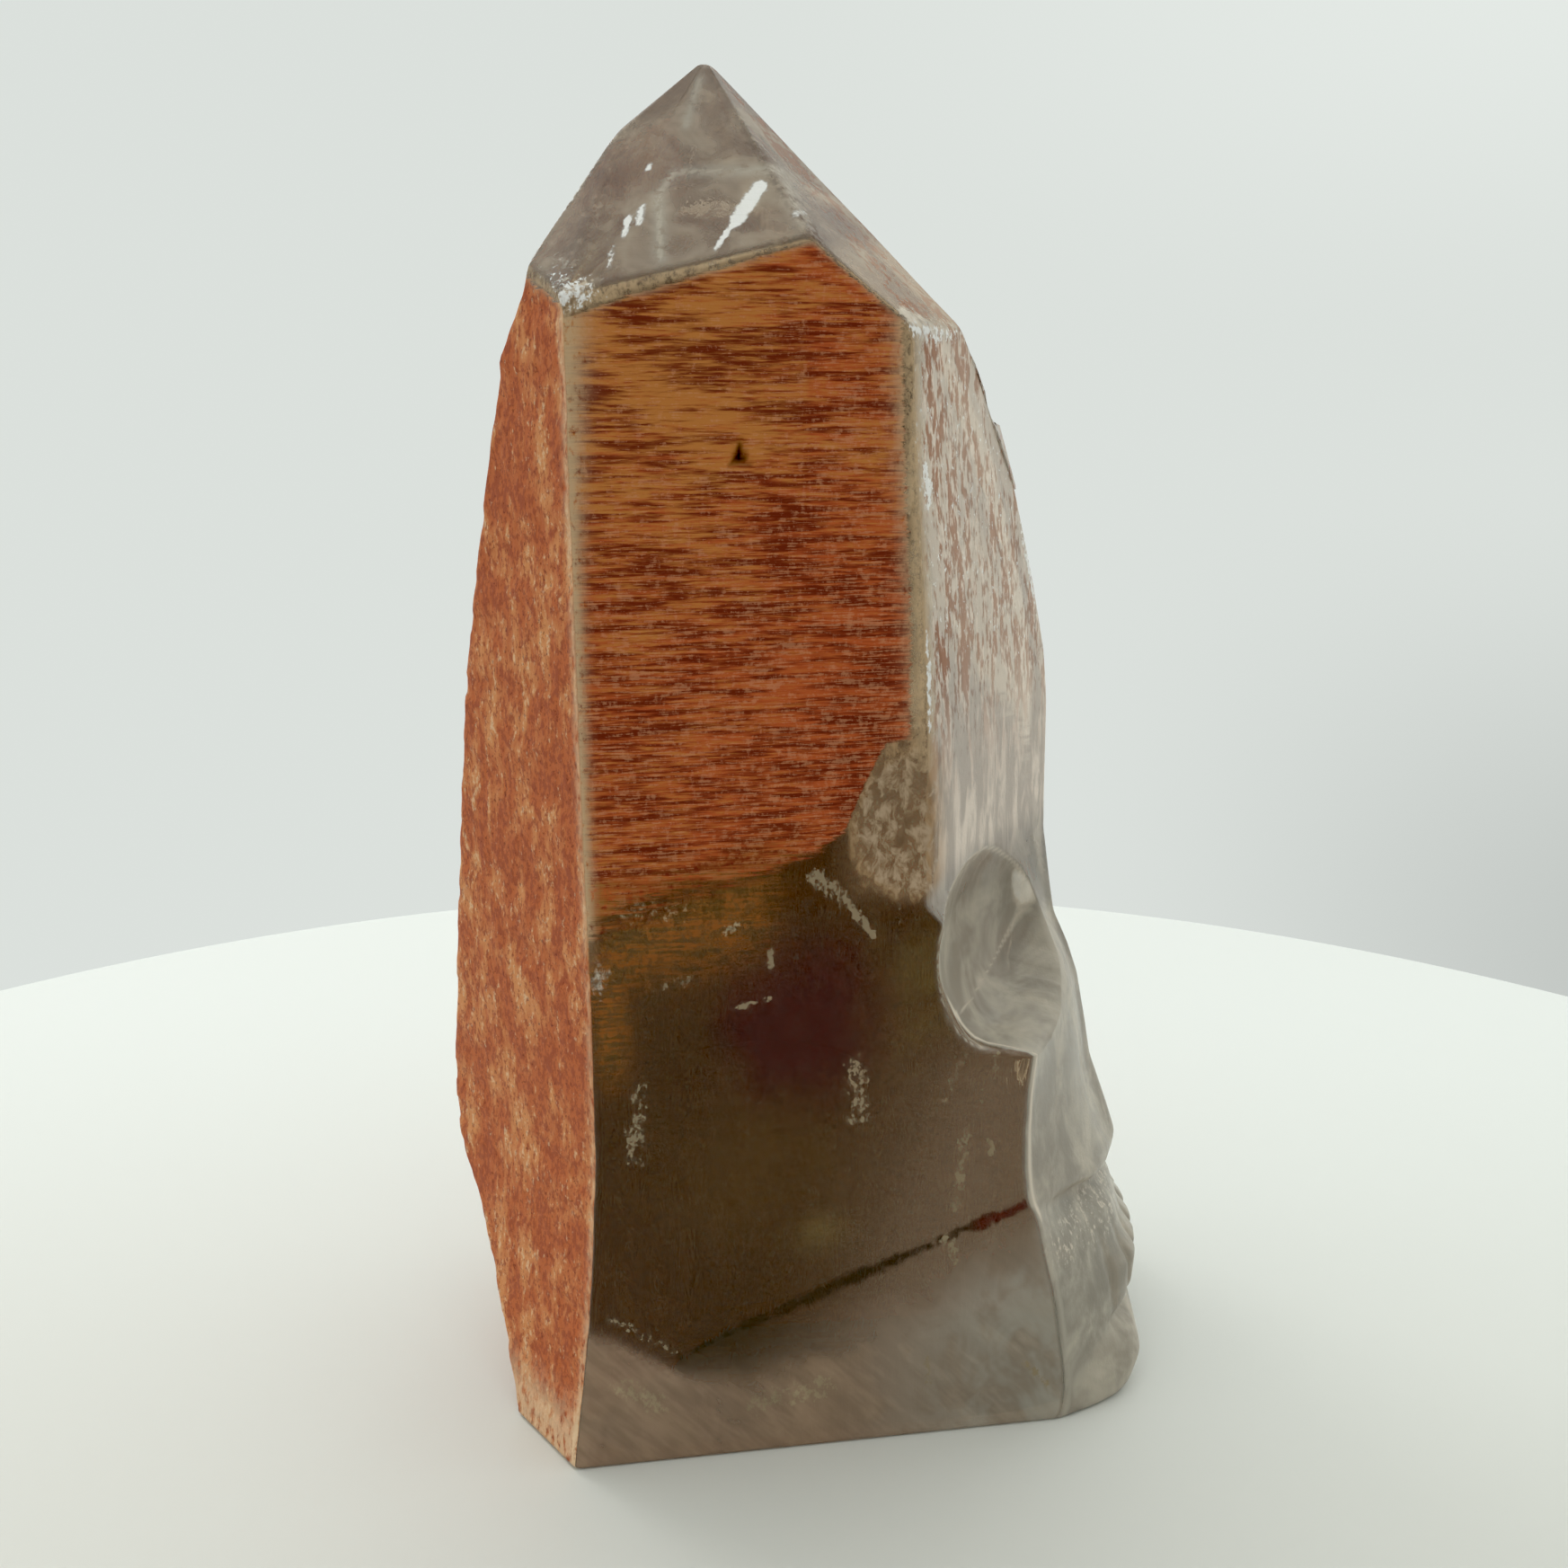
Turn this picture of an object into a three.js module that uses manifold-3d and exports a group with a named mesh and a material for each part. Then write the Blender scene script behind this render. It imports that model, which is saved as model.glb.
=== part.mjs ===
import * as THREE from 'three';
import { mergeVertices } from 'three/addons/utils/BufferGeometryUtils.js';
import Module from 'manifold-3d';

// A quartz crystal that stands on a cut base, with a skull carved in its lower right side.
// Sizes are in millimetres. X is right, Y is away from the viewer and Z is up.

// Driving sizes
const height = 130;
const tipRound = 0.5;
const ledgeRise = 0.22;
const skullMiddle = 3;
const rowParts = 2;

// Directions in which the six side faces look, in degrees from X towards Y
const faceAngles = { front: -81, right: -30, backRight: 33, back: 97, backLeft: 157, left: -141 };

// Distance of each side face from the upright axis, as pairs of height and distance
const faceReach = {
  front: [[0, 21.4], [20, 22.0], [50, 21.6], [80, 20.0], [118, 17.2], [140, 16.0]],
  right: [[0, 21.0], [57, 21.0], [71.4, 20.5], [81, 19.8], [96, 18.4], [107, 17.6], [140, 17.2]],
  backRight: [[0, 26.7], [53.5, 26.6], [69, 26.7], [75, 26.0], [82.8, 23.4], [91.9, 19.8], [101.3, 14.4],
    [107.6, 9.1], [140, 7.5]],
  back: [[0, 20.6], [30, 21.0], [60, 20.8], [90, 19.0], [140, 16.0]],
  backLeft: [[0, 18.6], [7.7, 21.3], [14.3, 23.9], [20, 26.4], [23.4, 29.3], [30.9, 30.9], [41.4, 29.7],
    [61.2, 27.1], [74, 25.3], [83.6, 23.2], [94.4, 20.3], [103.7, 18.0], [111, 13.3], [123.5, 10.9], [140, 7.7]],
  left: [[0, 31.4], [15.7, 30.0], [32.4, 28.9], [51.6, 28.8], [72.5, 28.4], [92.2, 27.8], [108, 27.2],
    [140, 26.0]],
};

// How much each side face takes part in the flat growth ledges
const ledgeShare = { front: 0.5, right: 0.3, backRight: 0.8, back: 1.0, backLeft: 1.2, left: 1.2 };

// Heights of the growth ledges that cross the natural faces
const ledgeHeights = [27.6, 34.2, 38.4, 62.2, 66.0, 73.4, 77.8, 85.0, 88.6, 95.2, 98.4, 104.0];

// The carved side, one row for each level from the base to the brow.
// low and high: height at the nose line and at the cheek edge.
// cheek: X of the cheek edge on the front face. Then three points and the nose line, as X and Y.
const carving = [
  { low: 0.0, high: 0.0, cheek: 28.0, a: [32.4, -14.8], b: [34.9, -12.2], c: [36.0, -5.5], nose: 36.3 },
  { low: 1.2, high: 1.2, cheek: 28.4, a: [33.2, -14.7], b: [36.2, -11.8], c: [37.0, -5.0], nose: 37.2 },
  { low: 3.8, high: 3.6, cheek: 28.6, a: [33.6, -14.6], b: [37.2, -11.2], c: [37.9, -4.6], nose: 38.1 },
  { low: 6.8, high: 5.8, cheek: 28.4, a: [33.2, -14.3], b: [36.4, -10.4], c: [37.3, -4.2], nose: 37.5 },
  { low: 8.6, high: 7.2, cheek: 28.2, a: [32.4, -14.2], b: [34.4, -9.4], c: [35.2, -3.6], nose: 35.4 },
  { low: 9.8, high: 8.2, cheek: 28.0, a: [32.6, -13.9], b: [36.3, -8.8], c: [37.5, -3.0], nose: 37.7 },
  { low: 13.0, high: 13.0, cheek: 27.2, a: [32.2, -13.2], b: [36.6, -8.2], c: [38.0, -2.4], nose: 38.3 },
  { low: 14.8, high: 16.0, cheek: 26.6, a: [31.5, -12.6], b: [35.1, -7.6], c: [36.5, -2.0], nose: 36.8 },
  { low: 17.8, high: 20.0, cheek: 25.6, a: [30.6, -11.8], b: [34.0, -6.8], c: [35.4, -1.6], nose: 35.9 },
  { low: 20.0, high: 23.8, cheek: 24.7, a: [28.2, -10.8], b: [31.6, -6.2], c: [33.9, -1.2], nose: 34.7 },
  { low: 20.8, high: 24.8, cheek: 24.0, a: [29.8, -11.0], b: [33.1, -6.4], c: [35.2, -1.0], nose: 36.0 },
  { low: 22.2, high: 26.4, cheek: 23.6, a: [29.7, -10.7], b: [32.9, -5.8], c: [35.2, -0.4], nose: 36.4 },
  { low: 25.4, high: 29.0, cheek: 23.3, a: [29.2, -10.3], b: [32.0, -5.2], c: [33.9, 0.0], nose: 35.3 },
  { low: 31.2, high: 32.5, cheek: 23.2, a: [28.4, -9.8], b: [30.7, -4.6], c: [32.1, 0.2], nose: 33.2 },
  { low: 35.2, high: 36.5, cheek: 23.3, a: [28.0, -9.4], b: [30.3, -4.0], c: [31.6, 0.6], nose: 32.5 },
  { low: 40.6, high: 41.2, cheek: 23.8, a: [27.5, -9.0], b: [29.5, -3.4], c: [30.7, 1.0], nose: 31.4 },
  { low: 44.0, high: 45.0, cheek: 22.4, a: [26.0, -9.4], b: [28.3, -3.6], c: [29.5, 1.4], nose: 30.2 },
  { low: 47.5, high: 48.5, cheek: 19.6, a: [23.8, -9.8], b: [26.4, -4.0], c: [27.8, 1.4], nose: 28.6 },
];
const browHeight = 55.8;

// Round eye hollows: middle, half sizes across, up and in, and the direction each looks in
const eye = { x: 20.8, y: -12.5, z: 49.7, wide: 12.3, tall: 9.6, deep: 5.0, turn: -22, lift: 4.5 };
const farEye = { x: 1.0, y: 0.6 };

// Cuts between the teeth, along the upper bulge of the mouth
const toothCuts = { count: 9, low: 8.9, high: 15.6, width: 0.7, depth: 0.55 };

// Broken edge above the near eye, and a small pit in the front face
const brokenEdge = { x: 12.4, y: -20.9, z: 63.4, wide: 6.6, deep: 2.5, tall: 7.6 };
const pit = { x: -3.7, z: 95.8, wide: 1.6, deep: 0.7 };

const wasm = await Module();
wasm.setup();

function toManifold(geometry) {
  const plain = geometry.index ? geometry.toNonIndexed() : geometry.clone();
  plain.deleteAttribute('normal');
  plain.deleteAttribute('uv');
  const merged = mergeVertices(plain, 1e-5);
  const mesh = new wasm.Mesh({
    numProp: 3,
    vertProperties: new Float32Array(merged.attributes.position.array),
    triVerts: new Uint32Array(merged.index.array),
  });
  return new wasm.Manifold(mesh);
}

function toGeometry(solid) {
  const mesh = solid.getMesh();
  const positions = new Float32Array(mesh.numVert * 3);
  for (let i = 0; i < mesh.numVert; i += 1) {
    for (let k = 0; k < 3; k += 1) {
      positions[i * 3 + k] = mesh.vertProperties[i * mesh.numProp + k];
    }
  }
  const indexed = new THREE.BufferGeometry();
  indexed.setAttribute('position', new THREE.BufferAttribute(positions, 3));
  indexed.setIndex(new THREE.BufferAttribute(new Uint32Array(mesh.triVerts), 1));
  const flat = indexed.toNonIndexed();
  flat.computeVertexNormals();
  return flat;
}

function direction(degrees) {
  const turn = THREE.MathUtils.degToRad(degrees);
  return [Math.cos(turn), Math.sin(turn)];
}

// Value at a height, between the pairs of a table
function reachAt(table, z) {
  if (z <= table[0][0]) {
    return table[0][1];
  }
  for (let i = 1; i < table.length; i += 1) {
    if (z <= table[i][0]) {
      const [z0, d0] = table[i - 1];
      const [z1, d1] = table[i];
      return d0 + (d1 - d0) * (z - z0) / (z1 - z0);
    }
  }
  return table[table.length - 1][1];
}

// A ledge pattern that looks irregular but is always the same
function ledgeStep(index, face) {
  const value = Math.sin(index * 12.9898 + face * 78.233) * 43758.5453;
  return value - Math.floor(value);
}

// Meeting point of two side faces at one height
function corner(nameA, nameB, z, band) {
  const names = Object.keys(faceAngles);
  const distance = [nameA, nameB].map((name) => {
    const step = ledgeStep(band, names.indexOf(name)) - 0.5;
    return reachAt(faceReach[name], z) + 2 * ledgeRise * ledgeShare[name] * step * (band > 0 ? 1 : 0);
  });
  const [ax, ay] = direction(faceAngles[nameA]);
  const [bx, by] = direction(faceAngles[nameB]);
  const across = ax * by - ay * bx;
  return [(distance[0] * by - distance[1] * ay) / across, (distance[1] * ax - distance[0] * bx) / across];
}

function frontY(x, z) {
  const [nx, ny] = direction(faceAngles.front);
  return (reachAt(faceReach.front, z) - nx * x) / ny;
}

function backY(x, z) {
  const [nx, ny] = direction(faceAngles.back);
  return (reachAt(faceReach.back, z) - nx * x) / ny;
}

function between(p, q, part) {
  return p.map((value, i) => value + (q[i] - value) * part);
}

// Adds points between those of a row; rounded when soft, straight otherwise
function fill(points, soft) {
  const row = [];
  for (let i = 0; i + 1 < points.length; i += 1) {
    const before = points[Math.max(i - 1, 0)];
    const after = points[Math.min(i + 2, points.length - 1)];
    for (let k = 0; k < rowParts; k += 1) {
      const t = k / rowParts;
      row.push(points[i].map((p1, axis) => {
        const p2 = points[i + 1][axis];
        if (!soft) {
          return p1 + (p2 - p1) * t;
        }
        const p0 = before[axis];
        const p3 = after[axis];
        return p1 + 0.5 * t * (p2 - p0 + t * (2 * p0 - 5 * p1 + 4 * p2 - p3 + t * (3 * (p1 - p2) + p3 - p0)));
      }));
    }
  }
  row.push(points[points.length - 1]);
  return row;
}

// One level of the lower part, with the carved side on the right
function carvedRing(row) {
  const { low, high, cheek, a, b, c, nose } = row;
  const near = [[a, 0.55], [b, 0.25], [c, 0.05]].map(([p, part]) => [p[0], p[1], low + (high - low) * part]);
  const far = near.map(([x, y, z]) => [x, 2 * skullMiddle - y, z]).reverse();
  return [
    [...corner('left', 'front', high, 0), high],
    ...fill([
      [cheek, frontY(cheek, high), high],
      ...near,
      [nose, skullMiddle, low],
      ...far,
      [cheek, backY(cheek, high), high],
    ], true),
    [...corner('back', 'backLeft', high, 0), high],
    [...corner('backLeft', 'left', high, 0), high],
  ];
}

// One level of the upper part, where the side faces are flat
function plainRing(z, band) {
  const frontRight = [...corner('front', 'right', z, band), z];
  const rightBack = [...corner('right', 'backRight', z, band), z];
  const backEdge = [...corner('backRight', 'back', z, band), z];
  return [
    [...corner('left', 'front', z, band), z],
    ...fill([
      frontRight,
      between(frontRight, rightBack, 0.35),
      between(frontRight, rightBack, 0.62),
      between(frontRight, rightBack, 0.84),
      rightBack,
      between(rightBack, backEdge, 0.16),
      between(rightBack, backEdge, 0.38),
      between(rightBack, backEdge, 0.65),
      backEdge,
    ], false),
    [...corner('back', 'backLeft', z, band), z],
    [...corner('backLeft', 'left', z, band), z],
  ];
}

function allRings() {
  const rings = carving.map(carvedRing);
  const heights = [browHeight, 58.4];
  rings.push(plainRing(heights[0], 0));
  let band = 1;
  rings.push(plainRing(heights[1], band));
  const bends = [71.4, 75.0, 82.8, 91.9, 101.3, 107.6, 111];
  const upper = ledgeHeights.filter((z) => z > 60).map((z) => ({ z, ledge: true }))
    .concat(bends.map((z) => ({ z, ledge: false })));
  upper.sort((p, q) => p.z - q.z);
  for (const { z, ledge } of upper) {
    rings.push(plainRing(z, band));
    if (ledge) {
      band += 1;
      rings.push(plainRing(z + 0.25, band));
    }
  }
  rings.push(plainRing(height + 6, band));
  return rings;
}

// Closed solid through all the levels
function loft(rings) {
  const count = rings[0].length;
  const vertices = rings.flat();
  const faces = [];
  for (let level = 0; level + 1 < rings.length; level += 1) {
    for (let i = 0; i < count; i += 1) {
      const j = (i + 1) % count;
      const a = level * count + i;
      const b = level * count + j;
      faces.push([a, b, b + count], [a, b + count, a + count]);
    }
  }
  for (const level of [0, rings.length - 1]) {
    const middle = vertices.length;
    vertices.push([0, 0, rings[level].at(-1)[2]]);
    for (let i = 0; i < count; i += 1) {
      const a = level * count + i;
      const b = level * count + (i + 1) % count;
      faces.push(level === 0 ? [middle, b, a] : [middle, a, b]);
    }
  }
  const mesh = new wasm.Mesh({
    numProp: 3,
    vertProperties: new Float32Array(vertices.flat()),
    triVerts: new Uint32Array(faces.flat()),
  });
  return new wasm.Manifold(mesh);
}

// Takes away all that lies outside the plane through three points
function cutPlane(solid, p, q, r) {
  const [a, b, c] = [p, q, r].map((v) => new THREE.Vector3(...v));
  const normal = new THREE.Plane().setFromCoplanarPoints(a, b, c).normal;
  if (normal.z < 0) {
    normal.negate();
  }
  const block = new THREE.BoxGeometry(160, 160, 60);
  const pose = new THREE.Matrix4().makeRotationFromQuaternion(
    new THREE.Quaternion().setFromUnitVectors(new THREE.Vector3(0, 0, 1), normal),
  );
  block.translate(0, 0, 30);
  block.applyMatrix4(pose);
  block.translate(a.x, a.y, a.z);
  return solid.subtract(toManifold(block));
}

// The pointed top, one cut for each of its faces
function pointedTop(solid) {
  const apex = [-7.1, 0, height];
  const cuts = [
    [apex, [-18.0, -21.0, 108.6], [2.4, -17.4, 113.4]],
    [apex, [2.4, -17.4, 113.4], [10.8, -16.6, 106.6]],
    [apex, [15.7, -7.9, 107.8], [10.3, 0.5, 107.8]],
    [apex, [-8.0, 17.0, 108.0], [2.0, 18.2, 108.0]],
    [apex, [-14.4, -6.1, 123.5], [-3.2, 9.2, 130.0]],
    [[-18.0, -21.0, 108.6], [-21.5, -16.7, 111.2], [-14.4, -6.1, 123.5]],
  ];
  let result = solid;
  for (const [p, q, r] of cuts) {
    result = cutPlane(result, p, q, r);
  }
  const flat = height - tipRound;
  return cutPlane(result, [0, 0, flat], [10, 1, flat], [-10, 8, flat]);
}

// A ball squashed and turned, in millimetres
function oval(middle, halfSizes, turn, lift, steps) {
  const ball = new THREE.SphereGeometry(1, steps, Math.round(steps * 0.7));
  ball.rotateX(Math.PI / 2);
  ball.scale(...halfSizes);
  ball.rotateY(-THREE.MathUtils.degToRad(lift));
  ball.rotateZ(THREE.MathUtils.degToRad(turn));
  ball.translate(...middle);
  return toManifold(ball);
}

// The round hollow of one eye, near side 1 or far side -1
function hollow(side) {
  const { x, y, z, wide, tall, deep, turn, lift } = eye;
  const halfSizes = [deep, wide, tall];
  if (side > 0) {
    return oval([x, y, z], halfSizes, turn, lift, 40);
  }
  return oval([x + farEye.x, 2 * skullMiddle - y + farEye.y, z], halfSizes, -turn, lift, 40);
}

// Point of the upper bulge of the mouth at a share of the way round it
function mouthPoint(part) {
  const { a, b, c, nose } = carving[6];
  const near = [a, b, c, [nose, skullMiddle]];
  const far = near.slice(0, 3).reverse().map(([x, y]) => [x, 2 * skullMiddle - y]);
  const path = new THREE.CatmullRomCurve3([...near, ...far].map(([x, y]) => new THREE.Vector3(x, y, 0)));
  return path.getPointAt(part);
}

function toothCut(index) {
  const { count, low, high, width, depth } = toothCuts;
  const side = (width / 2 + depth) / Math.SQRT2;
  const cut = new THREE.BoxGeometry(side, side, high - low);
  cut.rotateZ(Math.PI / 4);
  const at = mouthPoint((index + 0.6) / (count + 0.2));
  cut.translate(at.x, at.y, (low + high) / 2);
  return toManifold(cut);
}

// Small three-sided pit
function smallPit() {
  const cone = new THREE.ConeGeometry(pit.wide, 2 * pit.deep, 3);
  cone.translate(pit.x, frontY(pit.x, pit.z), pit.z);
  return toManifold(cone);
}

let crystal = loft(allRings());
crystal = pointedTop(crystal);
const cuts = [hollow(1), hollow(-1), smallPit()];
cuts.push(oval(
  [brokenEdge.x, brokenEdge.y, brokenEdge.z],
  [brokenEdge.wide, brokenEdge.deep, brokenEdge.tall],
  14,
  0,
  14,
));
for (let i = 0; i < toothCuts.count; i += 1) {
  cuts.push(toothCut(i));
}
for (const cut of cuts) {
  crystal = crystal.subtract(cut);
}

// The origin is under the middle of the whole shape, on the plane it stands on
const shape = toGeometry(crystal);
shape.computeBoundingBox();
const middle = shape.boundingBox.getCenter(new THREE.Vector3());
shape.translate(-middle.x, -middle.y, 0);

const quartz = new THREE.MeshStandardMaterial({ color: '#a8683c', roughness: 0.35, metalness: 0 });
const point = new THREE.Mesh(shape, quartz);
point.name = 'skull_point';

const group = new THREE.Group();
group.name = 'quartz_skull_point';
group.add(point);

export default group;
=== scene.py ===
import math

import bpy
import numpy as np
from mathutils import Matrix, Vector


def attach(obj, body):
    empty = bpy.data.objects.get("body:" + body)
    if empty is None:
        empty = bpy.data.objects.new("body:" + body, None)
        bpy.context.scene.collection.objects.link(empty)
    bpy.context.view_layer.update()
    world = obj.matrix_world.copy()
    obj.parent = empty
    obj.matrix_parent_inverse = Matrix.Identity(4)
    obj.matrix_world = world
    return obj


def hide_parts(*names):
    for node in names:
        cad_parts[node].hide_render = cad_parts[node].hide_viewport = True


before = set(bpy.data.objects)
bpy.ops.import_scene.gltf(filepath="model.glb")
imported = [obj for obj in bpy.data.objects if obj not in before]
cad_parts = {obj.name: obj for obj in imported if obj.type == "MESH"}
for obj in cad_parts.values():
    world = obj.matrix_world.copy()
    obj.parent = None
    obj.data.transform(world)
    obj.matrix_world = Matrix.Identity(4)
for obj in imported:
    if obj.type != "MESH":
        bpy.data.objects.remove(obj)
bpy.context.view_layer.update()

# A quartz crystal with a tangerine iron coat, a skull carved in its lower right side.
# Shapes are worked out in millimetres from the crystal's own middle and put into the mesh in metres.

toMetres = 0.001
middle = np.array([-1.8051, 0.3949, 0.0])  # from the crystal's own middle to the middle of its box
pi = math.pi



def smooth(value, low, high):
    # 0 below low, 1 above high, with a soft start and end
    part = np.clip((value - low) / (high - low), 0, 1)
    return part * part * (3 - 2 * part)


def bell(value, width):
    # 1 at zero, falling to a third at width
    return np.exp(-(value / width) ** 2)


def grain(points, size, seed):
    # Value noise: fixed random heights at the corners of cubes of that size, blended softly between them
    cells = points / size
    low = np.floor(cells)
    part = cells - low
    part = part * part * (3 - 2 * part)
    total = 0.0
    for dx in (0, 1):
        for dy in (0, 1):
            for dz in (0, 1):
                corner = low + np.array([dx, dy, dz])
                random = np.sin(corner @ np.array([12.9898, 78.233, 37.719]) + seed) * 43758.5453
                weight = (
                    (part[..., 0] if dx else 1 - part[..., 0])
                    * (part[..., 1] if dy else 1 - part[..., 1])
                    * (part[..., 2] if dz else 1 - part[..., 2])
                )
                total = total + weight * (random - np.floor(random))
    return total


def gridPiece(name, points, bottom, top, marks):
    # A closed surface from a grid of rows that go round, with one point at each end
    rows, columns = points.shape[:2]
    everything = np.concatenate([points.reshape(-1, 3), bottom[None], top[None]]) + middle
    row, column = np.meshgrid(np.arange(rows - 1), np.arange(columns), indexing="ij")
    a = row * columns + column
    b = row * columns + (column + 1) % columns
    quads = np.stack([a, b, b + columns, a + columns], -1).reshape(-1, 4)
    first = np.arange(columns)
    second = (first + 1) % columns
    last = (rows - 1) * columns
    under = np.stack([np.full(columns, rows * columns), second, first], -1)
    over = np.stack([np.full(columns, rows * columns + 1), last + first, last + second], -1)
    loops = np.concatenate([quads.ravel(), under.ravel(), over.ravel()])
    starts = np.concatenate([
        np.arange(len(quads)) * 4,
        quads.size + np.arange(2 * columns) * 3,
    ])
    mesh = bpy.data.meshes.new(name)
    mesh.vertices.add(len(everything))
    mesh.vertices.foreach_set("co", (everything * toMetres).ravel().astype(np.float32))
    mesh.loops.add(len(loops))
    mesh.loops.foreach_set("vertex_index", loops.astype(np.int32))
    mesh.polygons.add(len(starts))
    mesh.polygons.foreach_set("loop_start", starts.astype(np.int32))
    mesh.update(calc_edges=True)
    mesh.validate()
    mesh.polygons.foreach_set("use_smooth", np.ones(len(starts), bool))
    for markName, values in marks.items():
        mark = mesh.attributes.new(markName, "FLOAT", "POINT")
        full = np.concatenate([values.ravel(), [values[0].mean(), values[-1].mean()]])
        mark.data.foreach_set("value", full.astype(np.float32))
    piece = bpy.data.objects.new(name, mesh)
    bpy.context.scene.collection.objects.link(piece)
    return piece


class Wire:
    # A socket in an expression: + - * / with a number or another socket adds a Math node
    def __init__(self, recipe, socket):
        self.recipe = recipe
        self.socket = socket

    def combine(self, operation, first, second):
        return self.recipe.node("ShaderNodeMath", {"operation": operation}, {0: first, 1: second})

    def __add__(self, other):
        return self.combine("ADD", self, other)

    def __radd__(self, other):
        return self.combine("ADD", other, self)

    def __sub__(self, other):
        return self.combine("SUBTRACT", self, other)

    def __rsub__(self, other):
        return self.combine("SUBTRACT", other, self)

    def __mul__(self, other):
        return self.combine("MULTIPLY", self, other)

    def __rmul__(self, other):
        return self.combine("MULTIPLY", other, self)

    def __truediv__(self, other):
        return self.combine("DIVIDE", self, other)


class Recipe:
    # The node tree of one material
    def __init__(self, tree):
        self.tree = tree
        tree.nodes.clear()

    def node(self, kind, settings=None, sockets=None, output=0):
        made = self.tree.nodes.new(kind)
        for name, value in (settings or {}).items():
            if name == "stops":
                ramp = made.color_ramp.elements
                while len(ramp) < len(value):
                    ramp.new(0.5)
                for stop, (place, colour) in zip(ramp, value):
                    stop.position = place
                    stop.color = colour
            else:
                setattr(made, name, value)
        for name, value in (sockets or {}).items():
            if isinstance(value, Wire):
                self.tree.links.new(value.socket, made.inputs[name])
            else:
                made.inputs[name].default_value = value
        return Wire(self, made.outputs[output]) if len(made.outputs) else made

    def place(self, scale=(1, 1, 1), turn=(0, 0, 0)):
        # Object coordinates in millimetres, turned and stretched
        where = self.node("ShaderNodeTexCoord", output="Object")
        size = [1000 * s for s in scale]
        settings = {"vector_type": "POINT"}
        turned = self.node("ShaderNodeMapping", settings, {"Vector": where, "Rotation": turn})
        return self.node("ShaderNodeVectorMath", {"operation": "MULTIPLY"}, {0: turned, 1: size})

    def noise(self, vector, scale=1.0, detail=3.0, rough=0.55, warp=0.0):
        sockets = {"Vector": vector, "Scale": scale, "Detail": detail, "Roughness": rough, "Distortion": warp}
        return self.node("ShaderNodeTexNoise", {"noise_dimensions": "3D"}, sockets)

    def mark(self, name):
        return self.node("ShaderNodeAttribute", {"attribute_name": name}, output="Fac")

    def step(self, value, low, high):
        settings = {"interpolation_type": "SMOOTHSTEP"}
        return self.node("ShaderNodeMapRange", settings, {"Value": value, "From Min": low, "From Max": high})

    def larger(self, first, second):
        return self.node("ShaderNodeMath", {"operation": "MAXIMUM"}, {0: first, 1: second})

    def blend(self, factor, first, second):
        settings = {"data_type": "RGBA", "clamp_factor": True}
        return self.node("ShaderNodeMix", settings, {0: factor, 6: first, 7: second}, output=2)

    def principled(self, sockets):
        return self.node("ShaderNodeBsdfPrincipled", None, sockets)

    def mixShader(self, factor, first, second):
        return self.node("ShaderNodeMixShader", None, {0: factor, 1: first, 2: second})


def newMaterial(name):
    material = bpy.data.materials.new(name)
    material.use_nodes = True
    return material, Recipe(material.node_tree)


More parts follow.
